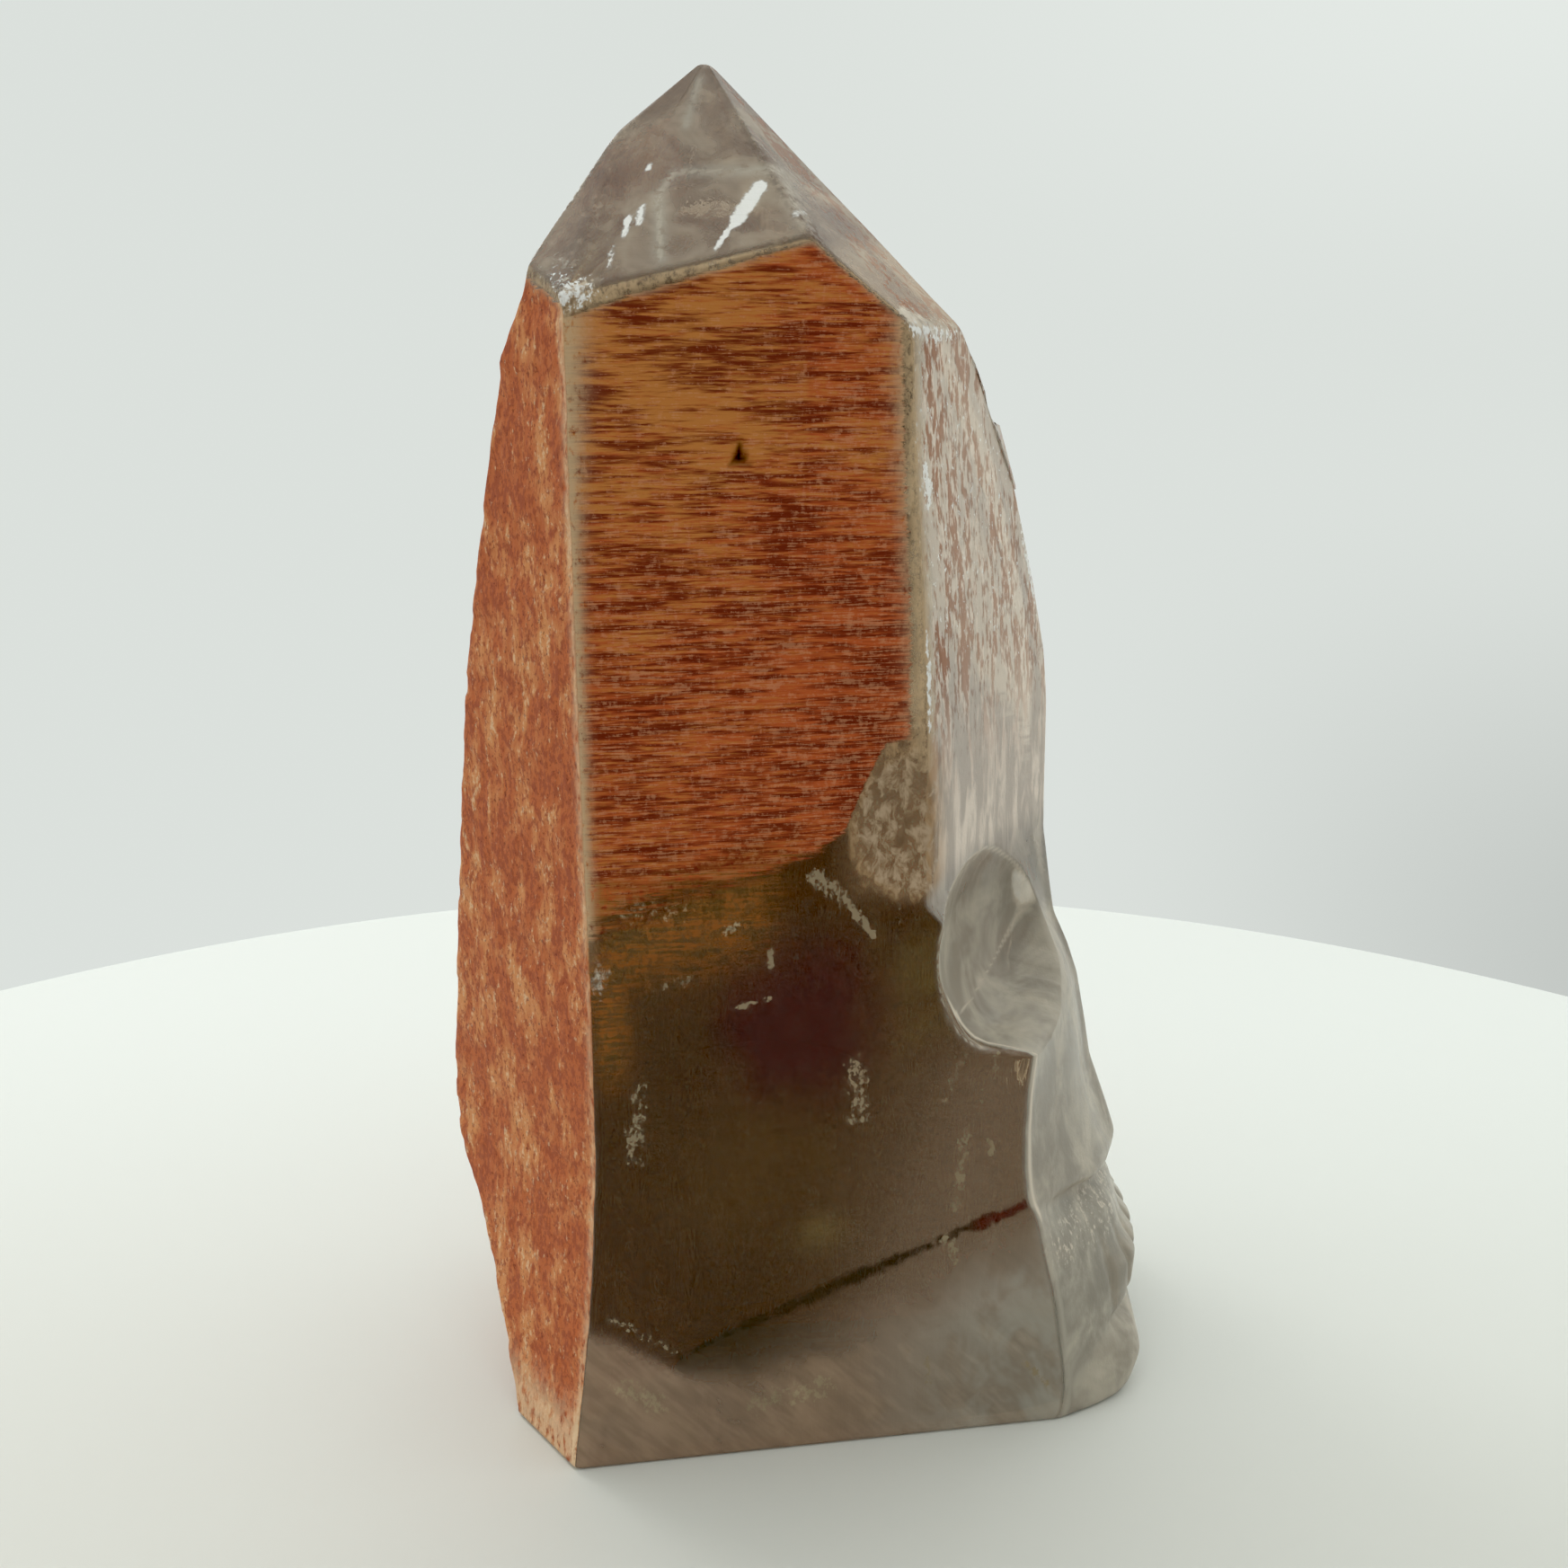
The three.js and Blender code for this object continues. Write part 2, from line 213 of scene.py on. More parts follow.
crystal = {
    "height": 130.0,
    "tipRound": 0.5,
    "skullMiddle": 3.0,
    "browHeight": 55.8,
    "apex": (-7.1, 0.0, 130.0),
    # directions in which the six side faces look, in degrees from X towards Y
    "angle": {"front": -81, "right": -30, "backRight": 33, "back": 97, "backLeft": 157, "left": -141},
    # distance of each side face from the upright axis: heights, then distances
    "reach": {
        "front": ([0, 20, 50, 80, 118, 140], [21.4, 22.0, 21.6, 20.0, 17.2, 16.0]),
        "right": ([0, 57, 71.4, 81, 96, 107, 140], [21.0, 21.0, 20.5, 19.8, 18.4, 17.6, 17.2]),
        "backRight": (
            [0, 53.5, 69, 75, 82.8, 91.9, 101.3, 107.6, 140],
            [26.7, 26.6, 26.7, 26.0, 23.4, 19.8, 14.4, 9.1, 7.5],
        ),
        "back": ([0, 30, 60, 90, 140], [20.6, 21.0, 20.8, 19.0, 16.0]),
        "backLeft": (
            [0, 7.7, 14.3, 20, 23.4, 30.9, 41.4, 61.2, 74, 83.6, 94.4, 103.7, 111, 123.5, 140],
            [18.6, 21.3, 23.9, 26.4, 29.3, 30.9, 29.7, 27.1, 25.3, 23.2, 20.3, 18.0, 13.3, 10.9, 7.7],
        ),
        "left": (
            [0, 15.7, 32.4, 51.6, 72.5, 92.2, 108, 140],
            [31.4, 30.0, 28.9, 28.8, 28.4, 27.8, 27.2, 26.0],
        ),
    },
    # the carved side from the base to the brow: height at the nose and at the cheek edge,
    # X of the cheek edge, three points as X and Y, and X of the nose line
    "carving": [
        (0.0, 0.0, 28.0, 32.4, -14.8, 34.9, -12.2, 36.0, -5.5, 36.3),
        (1.2, 1.2, 28.4, 33.2, -14.7, 36.2, -11.8, 37.0, -5.0, 37.2),
        (3.8, 3.6, 28.6, 33.6, -14.6, 37.2, -11.2, 37.9, -4.6, 38.1),
        (6.8, 5.8, 28.4, 33.2, -14.3, 36.4, -10.4, 37.3, -4.2, 37.5),
        (8.6, 7.2, 28.2, 32.4, -14.2, 34.4, -9.4, 35.2, -3.6, 35.4),
        (9.8, 8.2, 28.0, 32.6, -13.9, 36.3, -8.8, 37.5, -3.0, 37.7),
        (13.0, 13.0, 27.2, 32.2, -13.2, 36.6, -8.2, 38.0, -2.4, 38.3),
        (14.8, 16.0, 26.6, 31.5, -12.6, 35.1, -7.6, 36.5, -2.0, 36.8),
        (17.8, 20.0, 25.6, 30.6, -11.8, 34.0, -6.8, 35.4, -1.6, 35.9),
        (20.0, 23.8, 24.7, 28.2, -10.8, 31.6, -6.2, 33.9, -1.2, 34.7),
        (20.8, 24.8, 24.0, 29.8, -11.0, 33.1, -6.4, 35.2, -1.0, 36.0),
        (22.2, 26.4, 23.6, 29.7, -10.7, 32.9, -5.8, 35.2, -0.4, 36.4),
        (25.4, 29.0, 23.3, 29.2, -10.3, 32.0, -5.2, 33.9, 0.0, 35.3),
        (31.2, 32.5, 23.2, 28.4, -9.8, 30.7, -4.6, 32.1, 0.2, 33.2),
        (35.2, 36.5, 23.3, 28.0, -9.4, 30.3, -4.0, 31.6, 0.6, 32.5),
        (40.6, 41.2, 23.8, 27.5, -9.0, 29.5, -3.4, 30.7, 1.0, 31.4),
        (44.0, 45.0, 22.4, 26.0, -9.4, 28.3, -3.6, 29.5, 1.4, 30.2),
        (47.5, 48.5, 19.6, 23.8, -9.8, 26.4, -4.0, 27.8, 1.4, 28.6),
    ],
    # cuts of the pointed top, three points of each plane
    "topCuts": [
        ((-7.1, 0, 130), (-18, -21, 108.6), (2.4, -17.4, 113.4)),
        ((-7.1, 0, 130), (2.4, -17.4, 113.4), (10.8, -16.6, 106.6)),
        ((-7.1, 0, 130), (15.7, -7.9, 107.8), (10.3, 0.5, 107.8)),
        ((-7.1, 0, 130), (-8, 17, 108), (2, 18.2, 108)),
        ((-7.1, 0, 130), (-14.4, -6.1, 123.5), (-3.2, 9.2, 130)),
        ((-18, -21, 108.6), (-21.5, -16.7, 111.2), (-14.4, -6.1, 123.5)),
    ],
    # points round: front, each near part of the carving, each far part, back, back left, left
    "columns": (72, 20, 12, 36, 30, 42),
    "rowStep": 0.43,
    "straightRows": 90,
    "shoulderRows": 22,
    "topRows": 52,
}

eye = {
    "middle": (20.8, -12.5, 49.7),
    "farMiddle": (21.8, 19.1, 49.7),
    "halfSizes": (5.0, 12.3, 9.6),  # in, across, up
    "turn": -22.0,
    "lift": 4.5,
}

mouth = {"cuts": 9, "low": 8.9, "high": 15.6, "width": 0.55, "depth": 0.5}
brokenEdge = {"middle": (12.4, -20.9, 63.4), "halfSizes": (6.6, 2.5, 7.6)}  # across, in, up
pit = {"x": -3.7, "z": 95.8, "wide": 1.1, "deep": 0.7}


def reachOf(name, z):
    # Distance of a side face from the axis at heights z, straight between the table's pairs
    heights, distances = crystal["reach"][name]
    return np.interp(z, heights, distances)


def cornerLine(nameA, nameB, z):
    # Where two side faces meet at heights z, from their two line equations
    a = math.radians(crystal["angle"][nameA])
    b = math.radians(crystal["angle"][nameB])
    dA, dB = reachOf(nameA, z), reachOf(nameB, z)
    across = math.cos(a) * math.sin(b) - math.sin(a) * math.cos(b)
    x = (dA * math.sin(b) - dB * math.sin(a)) / across
    y = (dB * math.cos(a) - dA * math.cos(b)) / across
    return np.stack([x, y, z + 0 * x], -1)


def faceY(name, x, z):
    # Y of a side face at x and z
    turn = math.radians(crystal["angle"][name])
    return (reachOf(name, z) - math.cos(turn) * x) / math.sin(turn)


def carveWeights(rounded):
    # How each column of the carved side draws on its nine control points:
    # Catmull-Rom when rounded, else straight
    near, far = crystal["columns"][1:3]
    rows = []
    for part in range(8):
        steps = near if part < 4 else far
        t = np.arange(steps) / steps
        row = np.zeros((steps, 9))
        if rounded:
            cubic = [
                (-t + 2 * t ** 2 - t ** 3) / 2,
                (2 - 5 * t ** 2 + 3 * t ** 3) / 2,
                (t + 4 * t ** 2 - 3 * t ** 3) / 2,
                (t ** 3 - t ** 2) / 2,
            ]
            for offset, weight in zip((-1, 0, 1, 2), cubic):
                row[:, min(max(part + offset, 0), 8)] += weight
        else:
            row[:, part] += 1 - t
            row[:, part + 1] += t
        rows.append(row)
    return np.concatenate(rows)


def closeRing(carved, z):
    # A whole level: straight front, the carved or right side as given, then back, back left and left
    front, near, far, back, backLeft, left = crystal["columns"]
    corners = [
        cornerLine("left", "front", z),
        carved[..., 0, :],
        carved[..., -1, :],
        cornerLine("back", "backLeft", z),
        cornerLine("backLeft", "left", z),
    ]

    def straight(start, end, steps):
        t = (np.arange(steps) / steps)[:, None]
        return start[..., None, :] * (1 - t) + end[..., None, :] * t

    return np.concatenate([
        straight(corners[0], corners[1], front),
        carved[..., :-1, :],
        straight(corners[2], corners[3], back),
        straight(corners[3], corners[4], backLeft),
        straight(corners[4], corners[0], left),
    ], -2)


def plainLevel(z):
    # A level of the plain prism at heights z: its corners, with straight sides between them
    near = cornerLine("front", "right", z)
    turn = cornerLine("right", "backRight", z)
    far = cornerLine("backRight", "back", z)
    control = [near] + [near + (turn - near) * t for t in (0.35, 0.62, 0.84)]
    control += [turn] + [turn + (far - turn) * t for t in (0.16, 0.38, 0.65)] + [far]
    control = np.stack(control, -2)
    carved = np.concatenate([carveWeights(False) @ control, far[..., None, :]], -2)
    return closeRing(carved, z)


def carvedLevels():
    # The eighteen carved levels, mirrored across the middle of the skull
    rows = np.array(crystal["carving"])
    low, high = rows[:, 0], rows[:, 1]
    mirror = 2 * crystal["skullMiddle"]
    near = [
        np.stack([rows[:, k], rows[:, k + 1], low + (high - low) * part], -1)
        for k, part in ((3, 0.55), (5, 0.25), (7, 0.05))
    ]
    nose = np.stack([rows[:, 9], np.full(len(rows), mirror / 2), low], -1)
    far = [p * [1, -1, 1] + [0, mirror, 0] for p in reversed(near)]
    cheekNear = np.stack([rows[:, 2], faceY("front", rows[:, 2], high), high], -1)
    cheekFar = np.stack([rows[:, 2], faceY("back", rows[:, 2], high), high], -1)
    control = np.stack([cheekNear] + near + [nose] + far + [cheekFar], -2)
    carved = np.concatenate([carveWeights(True) @ control, cheekFar[..., None, :]], -2)
    return closeRing(carved, high)


def topPlanes():
    # Outward normals and distances of the pointed top's cuts
    planes = []
    for p, q, r in crystal["topCuts"]:
        p, q, r = (np.array(v, float) for v in (p, q, r))
        normal = np.cross(q - p, r - p)
        normal /= np.linalg.norm(normal) * np.sign(normal[2])
        planes.append((normal, normal @ p))
    return planes


def roomAbove(points):
    # How far each point lies under the nearest cut of the top
    return np.min([distance - points @ normal for normal, distance in topPlanes()], 0)


def prismAt(z):
    # The plain prism where each column has its own height: the level at z, one column at a time
    front, near, far, back, backLeft, left = crystal["columns"]
    around = ["left", "front", "right", "backRight", "back", "backLeft", "left"]
    corners = np.stack([cornerLine(first, second, z) for first, second in zip(around, around[1:])])
    rightParts = np.interp(np.arange(4 * near) / near, range(5), (0, 0.35, 0.62, 0.84, 1))
    farParts = np.interp(np.arange(4 * far) / far, range(5), (0, 0.16, 0.38, 0.65, 1))
    parts = [np.arange(front) / front, rightParts, farParts]
    parts += [np.arange(n) / n for n in (back, backLeft, left)]
    share = np.concatenate(parts)
    which = np.concatenate([np.full(len(p), k) for k, p in enumerate(parts)])
    columns = np.arange(len(share))
    start, end = corners[which, columns], corners[(which + 1) % 6, columns]
    return start * (1 - share)[:, None] + end * share[:, None]


def shoulderLine():
    # Height at which each column meets the pointed top, by halving the range
    count = sum(len(part) for part in columnParts())
    low, high = np.full(count, 90.0), np.full(count, 136.0)
    for _ in range(30):
        z = (low + high) / 2
        inside = roomAbove(prismAt(z)) > 0
        low, high = np.where(inside, z, low), np.where(inside, high, z)
    return low


def columnParts():
    # Column numbers of the six sides: front, right, back right, back, back left, left
    front, near, far, back, backLeft, left = crystal["columns"]
    ends = np.cumsum([0, front, 4 * near, 4 * far, back, backLeft, left])
    return [np.arange(ends[k], ends[k + 1]) for k in range(6)]


def mainForm():
    # All rows from the base edge to the tip
    rings = np.concatenate([carvedLevels(), plainLevel(np.array([crystal["browHeight"]]))])
    noseColumn = crystal["columns"][0] + 4 * crystal["columns"][1]
    rises = np.diff(rings[:, noseColumn, 2])
    steps = np.maximum(np.round(rises / crystal["rowStep"]).astype(int), 2)
    level = np.concatenate([k + np.arange(n) / n for k, n in enumerate(steps)])
    base = np.floor(level).astype(int)
    part = (level - base)[:, None, None]
    lower = rings[base] * (1 - part) + rings[base + 1] * part
    shoulder = shoulderLine()
    brow, bend = crystal["browHeight"], 98.0
    straight = np.linspace(brow, bend, crystal["straightRows"], endpoint=False)
    middleRows = np.stack([prismAt(np.full(len(shoulder), z)) for z in straight])
    share = np.arange(crystal["shoulderRows"]) / crystal["shoulderRows"]
    upperRows = np.stack([prismAt(bend + (shoulder - bend) * s) for s in share])
    rim = prismAt(shoulder)
    apex = np.array(crystal["apex"])
    # Rows of the top: straight from the rim to the apex, then out to the nearest cut
    stop = 1 - (crystal["tipRound"] / (apex[2] - rim[:, 2]))
    climb = np.linspace(0, 1, crystal["topRows"])[:, None] * stop
    topRows = rim + (apex - rim) * climb[..., None]
    outward = (rim - apex) * [1, 1, 0]
    outward /= np.linalg.norm(outward, axis=-1, keepdims=True)
    free = []
    for normal, distance in topPlanes():
        slope = outward @ normal
        gap = distance - topRows @ normal
        free.append(np.where(slope > 0.05, gap / np.maximum(slope, 0.05), 99.0))
    push = np.clip(np.min(free, 0), 0, 3)
    topRows = topRows + outward * push[..., None]
    return np.concatenate([lower, middleRows, upperRows, topRows])


def relax(points, bottom, top, times, share=0.5):
    # Each point moves part of the way to the middle of its four neighbours
    for _ in range(times):
        below = np.concatenate([np.broadcast_to(bottom, points[:1].shape), points[:-1]])
        above = np.concatenate([points[1:], np.broadcast_to(top, points[:1].shape)])
        sides = np.roll(points, 1, 1) + np.roll(points, -1, 1)
        points = points * (1 - share) + (below + above + sides) / 4 * share
    return points


def localAxes(turn, lift):
    # Inward, across and up axes of a hollow that looks along turn, lifted a little
    t, u = math.radians(turn), math.radians(lift)
    inward = np.array([math.cos(t) * math.cos(u), math.sin(t) * math.cos(u), math.sin(u)])
    across = np.array([-math.sin(t), math.cos(t), 0.0])
    return np.stack([inward, across, np.cross(inward, across)])


def hollow(points, place, halfSizes, axes):
    # Points inside an oval go back along its first axis to its far side
    local = (points - np.array(place)) @ axes.T / np.array(halfSizes)
    flat = local[..., 1] ** 2 + local[..., 2] ** 2
    inside = (flat < 1) & (local[..., 0] > -np.sqrt(np.clip(1 - flat, 0, 1))) & (local[..., 0] < 1.6)
    back = -np.sqrt(np.clip(1 - flat, 0, 1))
    moved = np.where(inside, back - local[..., 0], 0)
    return points + (moved * halfSizes[0])[..., None] * axes[0], flat, local[..., 0]


print("crystal: main form")
outline = mainForm()
bottomMiddle = np.array([3.0, -1.0, 0.0])
tipMiddle = outline[-1].mean(0)
capShares = np.array([0.1, 0.3, 0.5, 0.68, 0.82, 0.92, 0.97])
cap = bottomMiddle + (outline[0] - bottomMiddle) * capShares[:, None, None]
surface = np.concatenate([cap, outline])
capRows = len(capShares)
surface = relax(surface, bottomMiddle, tipMiddle, 2)

parts = columnParts()
side = np.zeros(surface.shape[1], int)
for number, columns in enumerate(parts):
    side[columns] = number

print("crystal: eyes, mouth and breaks")
nearAxes = localAxes(eye["turn"], eye["lift"])
farAxes = localAxes(-eye["turn"], eye["lift"])
surface, nearFlat, nearDepth = hollow(surface, eye["middle"], eye["halfSizes"], nearAxes)
surface = hollow(surface, eye["farMiddle"], eye["halfSizes"], farAxes)[0]

breakAxes = localAxes(crystal["angle"]["front"], 0)
breakSizes = (brokenEdge["halfSizes"][1], brokenEdge["halfSizes"][0], brokenEdge["halfSizes"][2])
surface, breakFlat, breakDepth = hollow(surface, brokenEdge["middle"], breakSizes, breakAxes)
surface = relax(surface, bottomMiddle, tipMiddle, 1)

# cut inwards, in millimetres
relief = {
    "stepDepth": 0.13,  # growth steps on the coated left, back left and back faces
    "stepTall": 2.0,
    "grainDepth": 0.16,  # fine grain on the same faces
    "grainSize": 0.9,
    "waveDepth": 0.16,  # slow waves on the clear faces
    "waveSize": 7.0,
    "frontGrain": 0.05,  # fine grain on the front
}


def outwardNormals(points):
    # Across times up on the grid, made one long
    across = np.roll(points, -1, 1) - np.roll(points, 1, 1)
    up = np.gradient(points, axis=0)
    normal = np.cross(across, up)
    return normal / np.maximum(np.linalg.norm(normal, axis=-1, keepdims=True), 1e-9)


def columnMark(*names, passes=2):
    # 1 on the columns of those sides, softened over a few columns
    mark = np.isin(side, [sideNames.index(name) for name in names]).astype(float)
    for _ in range(passes):
        mark = (np.roll(mark, 1) + 2 * mark + np.roll(mark, -1)) / 4
    return np.broadcast_to(mark, surface.shape[:2])


def toothGrooves(points):
    # Nine soft grooves at equal steps along each level of the mouth, deepest in its middle height
    front, near, far = crystal["columns"][:3]
    start, stop = front + near, front + 4 * near + 3 * far
    level = points[:, start:stop + 1]
    lengths = np.linalg.norm(np.diff(level, axis=1), axis=-1)
    along = np.concatenate([np.zeros((len(level), 1)), np.cumsum(lengths, 1)], 1)
    total = along[:, -1:]
    depth = np.zeros(points.shape[:2])
    for index in range(mouth["cuts"]):
        place = (index + 0.6) / (mouth["cuts"] + 0.2) * total
        depth[:, start:stop + 1] += bell(along - place, mouth["width"])
    z = points[..., 2]
    middleHeight = (mouth["low"] + mouth["high"]) / 2
    return mouth["depth"] * depth * bell(z - middleHeight, (mouth["high"] - mouth["low"]) / 2.1) * rowsUp


sideNames = ["front", "right", "backRight", "back", "backLeft", "left"]
rowsUp = (np.arange(surface.shape[0]) >= capRows + 2)[:, None] * 1.0
x, y, z = (surface[..., k] for k in range(3))
belowRim = shoulderLine()[None, :] - z  # millimetres under the shoulder
rough = (columnMark("left", "backLeft") + 0.6 * columnMark("back")) * smooth(belowRim, 0, 2)
clear = columnMark("right", "backRight") * (smooth(z, 52, 60) + 1 - smooth(z, 50, 58))

steps = grain(np.stack([x / 9, y / 9, z], -1), relief["stepTall"], 3.0)
fine = grain(np.stack([x, y, z / 1.6], -1), relief["grainSize"], 11.0)
waves = grain(np.stack([x, y, z / 2], -1), relief["waveSize"], 23.0)
inward = rough * (relief["stepDepth"] * smooth(steps, 0.45, 0.6) + relief["grainDepth"] * fine)
inward = inward + clear * relief["waveDepth"] * waves
inward = inward + columnMark("front") * relief["frontGrain"] * fine
inward = inward + toothGrooves(surface)
pitSpread = np.maximum(np.abs(x - pit["x"]) * 1.2 + (z - pit["z"]) * 0.5, pit["z"] - z)
inward = inward + columnMark("front") * pit["deep"] * smooth(-pitSpread, -pit["wide"], 0)
surface = surface - outwardNormals(surface) * (inward * rowsUp)[..., None]
surface[..., 2] = np.clip(surface[..., 2], 0, crystal["height"] - crystal["tipRound"])

print("crystal: where the coat, stains and frost lie")
x, y, z = (surface[..., k] for k in range(3))
front, left, right = (columnMark(name, passes=0) for name in ("front", "left", "right"))
clearSides = columnMark("right", "backRight", passes=0)
polished = clearSides * smooth(z, 52, 60)
carved = clearSides * (1 - smooth(z, 50, 58))
frontRight = cornerLine("front", "right", z)[..., 0]
leftFront = cornerLine("left", "front", z)[..., 0]

# Coat of the front: above a sloping lower edge, with a bare margin at the right and top.
# Distances in millimetres.
lowerEdge = np.interp(
    x,
    [-20, -17.7, -13.7, -9, -3.4, 0.6, 3.4, 5.4, 7, 9, 14],
    [52, 53, 56.8, 58, 59.2, 60.5, 61.6, 63, 67, 71, 71.5],
)
lowerSoft = np.interp(x, [-20, -12, -4, 2, 6], [4.5, 3.5, 2.0, 1.0, 0.5])
rightMargin = np.interp(z, [70, 80, 108], [1.7, 1.2, 0.7])
frontCoat = np.minimum((z - lowerEdge) / lowerSoft, (frontRight - x - rightMargin) / 0.5)
topGap = np.interp(x, [-18, -12, -3, 2], [1.7, 1.1, 0.5, 0.3])
frontCoat = np.minimum(frontCoat, (belowRim - topGap) / 0.4)
# Coat of the other natural faces
leftCoat = (belowRim - 0.8) / 0.5
backLeftCoat = (belowRim - 1.5) / 1.5
backRightLimit = np.interp(
    z, [0, 40, 50, 58, 65, 72, 80, 96, 102, 108], [34, 31, 27, 19, 14, 2, -8, -11, -2, 6]
)
backCoat = np.minimum((belowRim - 1.0) / 2.0, (backRightLimit - x) / 6.0)
coats = {"front": frontCoat, "left": leftCoat, "backLeft": backLeftCoat, "back": backCoat}
coatMark = np.full(z.shape, -6.0)
for name, coat in coats.items():
    coatMark = np.where(side[None, :] == sideNames.index(name), np.clip(coat, -6, 6), coatMark)

# Frost: chips along the foot, the broken edge, and the front right edge
edgeAway = np.linalg.norm(surface[..., :2] - cornerLine("front", "right", z)[..., :2], axis=-1)
edgeFrost = bell(edgeAway - 0.8, 1.6) * smooth(z, 70, 72) * (1 - smooth(z, 107, 110))
edgeFrost = edgeFrost * columnMark("right")
breakFrost = smooth(1.1 - breakFlat, 0, 0.5) * bell(breakDepth + 0.8, 0.9)
seamHeight = np.interp(x, [-20, -16.3, -10.1, -3.6, 11, 24, 40], [17.5, 16, 11.8, 14.6, 20.5, 25.5, 29])
footMark = smooth((seamHeight - z) / np.interp(x, [-10, -4, 12, 24], [2.5, 9, 11, 9]), 0, 1) * front
chipLeft = bell(np.hypot((x + 16.3) / 1.2, (z - 51.0) / 2.2), 1.0) * front
shoulderChip = bell(np.hypot((x + 17.3) / 3.0, belowRim / 2.2), 1.0) * (y < 0)
shoulderRight = bell(np.hypot((x - 12.0) / 3.5, belowRim / 1.2), 1.0) * (y < 0)
frostMark = np.clip(edgeFrost + breakFrost * 0.8 + 0.7 * chipLeft + shoulderChip + shoulderRight, 0, 1)

# Painted highlight: a bright line along the rim of the near eye and down the cheek edge
rim = bell(np.sqrt(np.clip(nearFlat + nearDepth ** 2, 0, 9)) - 1.0, 0.035)
cheekColumn = crystal["columns"][0] + 2
cheekAway = np.linalg.norm(surface - surface[:, cheekColumn:cheekColumn + 1], axis=-1)
cheekHighlight = bell(cheekAway, 0.5) * smooth(z, 21, 24) * (1 - smooth(z, 44, 47))
highlightLineMark = np.clip(0.8 * rim + 1.2 * cheekHighlight, 0, 1)

# White glints: two along the front right edge, one down the right outline, and at both ends of the shoulder
turnAway = np.linalg.norm(surface[..., :2] - cornerLine("right", "backRight", z)[..., :2], axis=-1)
glintMark = bell(np.hypot((edgeAway - 2.0) / 1.3, (z - 93.2) / 2.8), 1.0)
glintMark = glintMark + bell(np.hypot((edgeAway - 0.5) / 0.8, (z - 76.0) / 6.0), 1.0)
glintMark = glintMark + bell(np.hypot((turnAway - 0.2) / 1.1, (z - 83.0) / 6.5), 1.0)
glintMark = np.maximum(glintMark, 0.40 * smooth(z, 66, 80))
glintMark = glintMark * (z > 60) * columnMark("right") * (belowRim > 0)
glintMark = glintMark + 0.75 * shoulderChip + 0.55 * shoulderRight


def strokes(lines):
    # Soft lines on the front and the point, seen from the front:
    # start and end in X and Z, half width, strength
    total = 0 * z
    for startX, startZ, endX, endZ, wide, strength in lines:
        runX, runZ = endX - startX, endZ - startZ
        t = np.clip(((x - startX) * runX + (z - startZ) * runZ) / (runX ** 2 + runZ ** 2), 0, 1)
        away = np.hypot(x - startX - t * runX, z - startZ - t * runZ)
        total = np.maximum(total, strength * bell(away, wide))
    return total


# Pale tufts, feathers and cracks just under the front
tuftMark = front * strokes([
    (6.5, 40.6, 7.1, 35.6, 1.9, 0.74),
    (-13.1, 40.0, -13.8, 33.0, 1.3, 0.70),
    (10.5, 57.0, 9.8, 43.0, 0.35, 0.52),
    (17.0, 41.5, 15.0, 36.5, 0.8, 0.55),
    (20.0, 41.0, 18.5, 36.0, 0.7, 0.58),
    (-11.5, 49.5, -8.0, 50.3, 0.6, 0.65),
    (-14.0, 57.0, -9.0, 56.5, 1.6, 0.55),
    (2.6, 59.2, 5.2, 57.0, 1.1, 0.90),
    (5.0, 57.6, 8.1, 53.4, 0.6, 1.00),
    (-4.3, 47.2, -0.9, 48.0, 0.35, 0.85),
    (-5.0, 54.6, -4.2, 54.9, 0.7, 0.75),
    (-1.2, 52.4, -1.2, 50.8, 0.4, 0.90),
    (17.2, 33.0, 16.5, 25.5, 0.9, 0.70),
    (19.6, 32.0, 19.8, 30.8, 0.5, 1.00),
    (15.4, 22.4, 16.7, 19.8, 0.9, 0.85),
    (14.2, 9.1, 14.1, 2.8, 0.5, 0.70),
    (23.9, 7.4, 26.4, 4.5, 0.5, 0.85),
    (-16.8, 17.0, -10.0, 12.2, 0.7, 0.75),
    (-15.5, 9.0, -12.0, 6.5, 1.6, 0.70),
    (-2.5, 5.5, 4.0, 7.0, 1.8, 0.68),
])
# The dark seam that climbs to the cheek edge
seamMark = front * strokes([
    (-10.1, 11.8, -3.6, 14.6, 0.6, 0.9),
    (-3.6, 14.6, 11.0, 20.5, 1.0, 1.0),
    (11.0, 20.5, 20.0, 24.0, 0.6, 1.0),
])
seamEnd = front * strokes([(19.0, 23.4, 24.0, 25.4, 0.8, 1.0)])
# Bright reflections inside the point: the flame, the old crystal's top and side, and small spots
onPoint = (y < 0) * (belowRim < 0.4)
topGlint = onPoint * strokes([
    (-5.6, 112.6, -4.0, 115.0, 0.35, 0.80),
    (-4.0, 114.9, -2.0, 117.9, 0.75, 1.0),
    (-13.3, 113.7, -13.1, 115.2, 0.40, 0.85),
    (-12.1, 114.9, -12.0, 116.0, 0.50, 0.80),
    (-11.7, 119.5, -11.5, 119.9, 0.40, 0.75),
    (-14.4, 110.9, -14.2, 112.6, 0.35, 0.70),
    (1.0, 115.4, 1.6, 115.6, 0.60, 0.55),
])
oldCrystal = onPoint * strokes([
    (-9.4, 119.2, -0.2, 119.4, 0.55, 0.8),
    (-9.4, 119.2, -10.5, 117.4, 0.6, 0.8),
    (-10.6, 117.3, -10.2, 111.8, 0.7, 0.9),
    (0.4, 118.6, 1.2, 114.8, 0.9, 0.6),
    (-7.6, 128.0, -8.6, 123.5, 0.5, 0.7),
])

